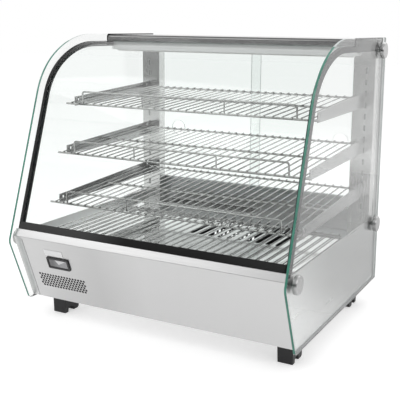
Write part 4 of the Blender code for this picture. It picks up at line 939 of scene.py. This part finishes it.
def racks():
    """Three tilted shelves and the level rack on the deck."""
    for word, depth, height in (
        ("bottom", 0.398, 0.291),
        ("middle", 0.366, 0.403),
        ("top", 0.331, 0.515),
    ):
        rows = [(-depth, 0.322), (-depth / 2, CROSS_REACH), (0, CROSS_REACH)]
        place = (0, SHELF_REAR_Y, height)
        rack("wire_shelf_" + word, "shelf_" + word, depth, rows, place, SHELF_LEAN, True)
    depth = 0.330
    rows = [(-depth, CROSS_REACH), (0, CROSS_REACH)]
    place = (0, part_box("floor_rack")[1][1] - WIRE_OVERHANG, DECK_Z + GAP + CROSS_RADIUS)
    rack("wire_floor_rack", "floor_rack", depth, rows, place, 0, False)


# Round caps


def turned_piece(work, profile, centre, axis, steps):
    """Turns a profile of radius and height about an axis through a centre."""
    axis = Vector(axis).normalized()
    side = axis.orthogonal().normalized()
    centre = Vector(centre)
    places = [centre + side * radius + axis * height for radius, height in profile]
    edges = ring(work, places, closed=False)
    points = list(dict.fromkeys(vertex for edge in edges for vertex in edge.verts))
    bmesh.ops.spin(
        work, geom=points + edges, cent=centre, axis=axis, angle=math.tau, steps=steps, use_merge=True
    )
    bmesh.ops.remove_doubles(work, verts=work.verts, dist=0.000005)
    bmesh.ops.recalc_face_normals(work, faces=work.faces)


def caps():
    """Six turned caps with rubber washers on short stems, which hold the side glasses."""
    washers = bmesh.new()
    washer = [
        (CAP_HOLE, GAP), (0.0120, GAP), (0.0124, 0.0008), (0.0120, 0.0013), (CAP_HOLE, 0.0013),
        (CAP_HOLE, GAP),
    ]
    for side, word in ((-1, "left"), (1, "right")):
        for name, (y, z) in CAP_SPOTS.items():
            centre, axis = (side * OUTER_X, y, z), (side, 0, 0)
            end = -0.0083 if name == "top" else -0.0065
            profile = [
                (0, 0.0109), (0.0166, 0.0110), (0.0184, 0.0105), (0.0192, 0.0094), (CAP_RADIUS, 0.0080),
                (CAP_RADIUS, 0.0022), (0.0188, 0.0015), (CAP_STEM, 0.0015), (CAP_STEM, end), (0, end),
            ]
            work = bmesh.new()
            turned_piece(work, profile, centre, axis, 48)
            for face in work.faces:
                face.material_index = 1 if abs(face.normal.x) > 0.9 else 0
            piece(
                "round_cap_%s_%s" % (name, word), work, "case", ["cap_%s_%s" % (name, word)],
                [CAP_METAL, CAP_FACE], 28,
            )
            turned_piece(washers, washer, centre, axis, 32)
    piece("cap_washers", washers, "case", [], [SEAL_RUBBER_AND_SHADE], 28)


# Pieces that follow the solid's own shape, with broken edges: finish, slot, width, body and solids

SIDES = ("left", "right")
ARMS = ["arm_%s_%s" % (level, side) for level in ("bottom", "middle", "top") for side in SIDES]
FEET = ["foot_%s_%s" % (end, side) for end in ("front", "rear") for side in SIDES]
EASED = (
    (DECK_STEEL, "brushed_steel", 0.0001, "case", ["deck_plate"]),
    (PAN_STEEL, "brushed_steel", 0.0004, "case", ["water_tray"]),
    (UPRIGHT_STEEL, "brushed_steel", 0.0004, "case", ["post_left", "post_right"]),
    (ARM_STEEL, "bright_wire", 0.0004, "case", ARMS),
    (BODY_STEEL, "brushed_steel", 0.0004, "case", ["rear_sill"]),
    (LAMP_STEEL, "brushed_steel", 0.0004, "case", ["lamp_housing"]),
    (ALUMINIUM, "aluminium", 0.0003, "case", ["door_track_bottom", "door_track_top"]),
    # The fan and its motor are near-black, painted shade inside the base.
    (DARK_STEEL, "aluminium", 0.0003, "case", ["fan_motor"]),
    (DARK_STEEL, "aluminium", 0.0002, "impeller", ["fan_impeller"]),
    (SEAL_RUBBER_AND_SHADE, "black_rubber", 0.0008, "case", ["top_seal_left", "top_seal_right"]),
    (FOOT_RUBBER, "black_rubber", 0.0012, "case", FEET),
    (CLEAR_PLASTIC, "clear_glass", 0.0008, "left_door", ["door_pull_left"]),
    (CLEAR_PLASTIC, "clear_glass", 0.0008, "right_door", ["door_pull_right"]),
    (BLACK_PLASTIC, "black_plastic", 0.0005, "case", [
        "display_bezel", "thermostat_body", "power_switch_housing", "lamp_switch_housing",
        "cord_gland",
    ]),
    (BLACK_PLASTIC, "black_plastic", 0.0006, "thermostat_knob", ["thermostat_knob"]),
    (BLACK_PLASTIC, "black_plastic", 0.0006, "lamp_rocker", ["lamp_switch_rocker"]),
    (RED_PLASTIC, "red_plastic", 0.0006, "power_rocker", ["power_switch_rocker"]),
    (WHITE_PLASTIC, "white_diffuser", 0.0005, "case", ["lamp_lens"]),
    (WINDOW_GREY, "display_grey", 0.0004, "case", ["display_module"]),
)


def eased(node, finishes, width, body, choose=None):
    """A copy of a solid with its edges broken. A rule can choose the finish of each face."""
    work = bmesh.new()
    work.from_mesh(NODES[node].data)
    bmesh.ops.remove_doubles(work, verts=work.verts, dist=0.00001)
    bmesh.ops.dissolve_limit(work, angle_limit=0.002, verts=work.verts, edges=work.edges)
    bmesh.ops.recalc_face_normals(work, faces=work.faces)
    softened(work, sharp_edges(work), width)
    if choose:
        for face in work.faces:
            face.material_index = choose(face)
    piece(node + "_eased", work, body, [node], finishes)


def cheek_kind(face):
    """Which finish a face of the pan takes: 1 to the left, 2 the right cheek's outside, 0 the rest. Each
    is the same steel with its own painted light and shade.
    """
    if face.normal.x < -0.7:
        return 1
    return 2 if face.normal.x > 0.7 and face.calc_center_median().x > 0 else 0


def door_kind(face):
    """Which finish a face of a door takes: 0 its clear sheet, 1 its edges."""
    return 1 if abs(face.normal.y) < 0.7 else 0


def end_kind(face):
    """Which finish a face of the carrier takes: 1 to its ends, 0 the rest."""
    return 1 if abs(face.normal.x) > 0.7 else 0


def inner_kind(face):
    """Which finish a face of the rear sheet takes: 1 its inner side, painted near-black as shade inside
    the base, 0 the rest.
    """
    return 1 if face.normal.y < -0.7 else 0


def ease_solids():
    """Hands over the pieces that follow the solids."""
    for finish, slot, width, body, nodes in EASED:
        for node in nodes:
            eased(node, [finish], width, body)
    glass = [DOOR_PANE, PALE_EDGE]
    for word in SIDES:
        eased("door_" + word, glass, 0.0005, word + "_door", door_kind)
    cheeks = [SIDE_STEEL, SHADED_STEEL_COPY, CHEEK_STEEL]
    eased("chassis", cheeks, 0.0004, "case", cheek_kind)
    steel = [BODY_STEEL, DARK_STEEL]
    eased("top_frame", steel, 0.0004, "case", end_kind)
    eased("back_panel", steel, 0.0003, "case", inner_kind)
    # The heater is near-black, painted shade inside the base.
    slots = NODES["heater_element"].data.materials
    slots.clear()
    slots.append(DARK_STEEL)


# Small things on the back


def stroke(work, middle, degrees, near, far, half):
    """A thin printed line that points away from a middle, on a face that looks to the back."""
    out = Vector((math.sin(math.radians(degrees)), 0, math.cos(math.radians(degrees))))
    side = Vector((out.z, 0, -out.x)) * half
    near, far = middle + out * near, middle + out * far
    block(work, [near - side, near + side, far + side, far - side], Vector((0, INK, 0)))


def back_fixings():
    """Screws and a bare plate."""
    work = bmesh.new()
    head = [
        (0, 0.0007), (0.0012, 0.0007), (0.0013, 0.0015), (0.0020, 0.0015), (0.0031, 0.0009),
        (0.0034, GAP), (0, GAP),
    ]
    for x in (-0.322, 0, 0.322):
        for z in (0.0665, 0.1900):
            turned_piece(work, head, (x, BACK_Y, z), (0, 1, 0), 20)
    piece("back_screws", work, "case", [], [ALUMINIUM], 28)

    work = bmesh.new()
    upright_plate(work, (0.055, 0.125), (0.098, 0.143), BACK_Y + GAP, 0.0005)
    bmesh.ops.recalc_face_normals(work, faces=work.faces)
    standing = [
        edge for edge in work.edges
        if abs(edge.verts[0].co.y - edge.verts[1].co.y) > 0.0003
    ]
    softened(work, standing, 0.002, 4)
    piece("blank_plate_back", work, "case", [], [ALUMINIUM])


def printed_marks():
    """The dial's ticks, plain switch signs and the knob's pointer."""
    work = bmesh.new()
    first, step = -135, 27
    for count in range(11):
        far = 0.0245 if count % 5 == 0 else 0.0232
        stroke(work, DIAL, first + step * count, 0.0208, far, 0.0003)
    near, far = GAP, GAP + INK
    circle = [(0.0016, near), (0.0016, far), (0.0023, far), (0.0023, near), (0.0016, near)]
    for x in SWITCH_PLACES:
        upright_plate(work, (x - 0.0060, x - 0.0053), (0.1465, 0.1510), BACK_Y + GAP, INK)
        turned_piece(work, circle, (x + 0.0055, BACK_Y, 0.14875), (0, 1, 0), 24)
    bmesh.ops.recalc_face_normals(work, faces=work.faces)
    piece("printed_ticks", work, "case", [], [SEAL_RUBBER_AND_SHADE])

    work = bmesh.new()
    stroke(work, Vector((DIAL.x, KNOB_FACE_Y, DIAL.z)), first, 0.0055, 0.0130, 0.0008)
    bmesh.ops.recalc_face_normals(work, faces=work.faces)
    piece("knob_pointer", work, "thermostat_knob", [], [WHITE_PLASTIC])


# Studio


def matt(name, tone, roughness):
    """A plain grey finish without shine."""
    paint, tree, shader = new_finish(name)
    shader.inputs["Base Color"].default_value = (tone, tone, tone, 1)
    shader.inputs["Roughness"].default_value = roughness
    shader.inputs["Specular IOR Level"].default_value = 0.0
    return paint, tree, shader


def card(name, tone, corner, across, along, fade=None):
    """A plain card that only shows in the steel and the glass. It may fade out along Y."""
    paint, tree, shader = matt(name, tone, 1.0)
    if fade:
        tree.links.new(ramped(tree, "Y", fade, 0.5, 0.0), shader.inputs["Alpha"])
    work = bmesh.new()
    bmesh.ops.create_grid(work, x_segments=1, y_segments=1, size=0.5)
    sides = Matrix((across, along, across.cross(along))).transposed().to_4x4()
    sides.translation = corner + (across + along) / 2
    bmesh.ops.transform(work, matrix=sides, verts=work.verts)
    sheet = placed(name, work, [paint])
    sheet.visible_camera = False
    sheet.visible_diffuse = False
    sheet.visible_shadow = False


def by_ray(tree, lighting, seen):
    """One level for the light that falls on things, another where the room itself is seen."""
    path = add(tree, "ShaderNodeLightPath")
    mirrored = calc(tree, "ADD", path.outputs["Is Camera Ray"], path.outputs["Is Glossy Ray"])
    either = calc(tree, "ADD", mirrored, path.outputs["Is Transmission Ray"])
    return spread(tree, either, lighting, seen, 0.0, 1.0)


def room():
    """A white room: the sky, and a floor that keeps the shadow of the case."""
    scene = bpy.context.scene
    scene.view_settings.view_transform = "Standard"
    scene.cycles.transparent_max_bounces = 32
    scene.world = bpy.data.worlds.new("white room")
    scene.world.use_nodes = True
    tree = scene.world.node_tree
    sky = tree.nodes["Background"]
    sky.inputs["Color"].default_value = (1, 1, 1, 1)
    tree.links.new(by_ray(tree, 0.72, 1.0), sky.inputs["Strength"])

    paint, tree, shader = matt("white floor", 0.72, 0.9)
    shader.inputs["Emission Color"].default_value = (1, 1, 1, 1)
    tree.links.new(by_ray(tree, 0.0, 0.49), shader.inputs["Emission Strength"])
    work = bmesh.new()
    bmesh.ops.create_grid(work, x_segments=2, y_segments=2, size=12)
    floor = placed("floor", work, [paint])


def cards():
    """A dark card in front and a pale one beside the case."""
    corner = Vector((-5.36, -4.57, 0.01))
    card("grey_card", 0.14, corner, Vector((7.52, 2.74, 0)), Vector((0, 0, 1.30)))
    near, far = -0.12, 1.3
    fade = ((near, 0), (0.02, 0.15), (0.18, 0.75), (0.32, 1), (0.55, 1), (far, 0))
    corner = Vector((0.3395, near, 0.002))
    card("pale_card", 0.82, corner, Vector((0.9605, 0, 0)), Vector((0, far - near, 0.188)), fade)


def lamps():
    """Three soft lamps."""
    for name, spot, size, power in (
        ("key", (-1.6, -1.9, 2.4), 1.8, 19),
        ("fill", (2.0, -1.2, 1.9), 1.6, 12),
        ("back", (0.4, 1.9, 2.2), 1.6, 14),
    ):
        lamp = bpy.data.lights.new(name, "AREA")
        lamp.size = size
        lamp.energy = power
        holder = bpy.data.objects.new(name, lamp)
        holder.location = spot
        aim = Vector((0, 0, 0.3)) - Vector(spot)
        holder.rotation_euler = aim.to_track_quat("-Z", "Y").to_euler()
        bpy.context.scene.collection.objects.link(holder)


def camera():
    """The photograph's view."""
    yaw, pitch, roll = 0.4715, 0.17588, 0.01163
    right = Vector((math.cos(yaw), math.sin(yaw), 0))
    level = Vector((-math.sin(yaw), math.cos(yaw), 0))
    ahead = level * math.cos(pitch) - Vector((0, 0, math.sin(pitch)))
    up = right.cross(ahead)
    across = right * math.cos(roll) + up * math.sin(roll)
    upright = up * math.cos(roll) - right * math.sin(roll)
    lens = bpy.data.cameras.new("view")
    lens.sensor_width = 36
    lens.lens = 67.802
    lens.shift_x = -0.075
    lens.shift_y = -0.1
    lens.clip_start = 0.05
    holder = bpy.data.objects.new("view", lens)
    turn = Matrix((across, upright, -ahead)).transposed().to_4x4()
    turn.translation = (0.84859, -1.53352, 0.6827)
    holder.matrix_world = turn
    bpy.context.scene.collection.objects.link(holder)
    bpy.context.scene.camera = holder


camera()
room()
cards()
lamps()
for side, word in ((-1, "left"), (1, "right")):
    side_glass(side, word)
    side_rubber(side, word)
bent_pane()
lower_rubber()
front_fascia()
painted_vent_shade()
blank_label()
side_folds()
slot_backings()
cover()
racks()
caps()
ease_solids()
back_fixings()
printed_marks()
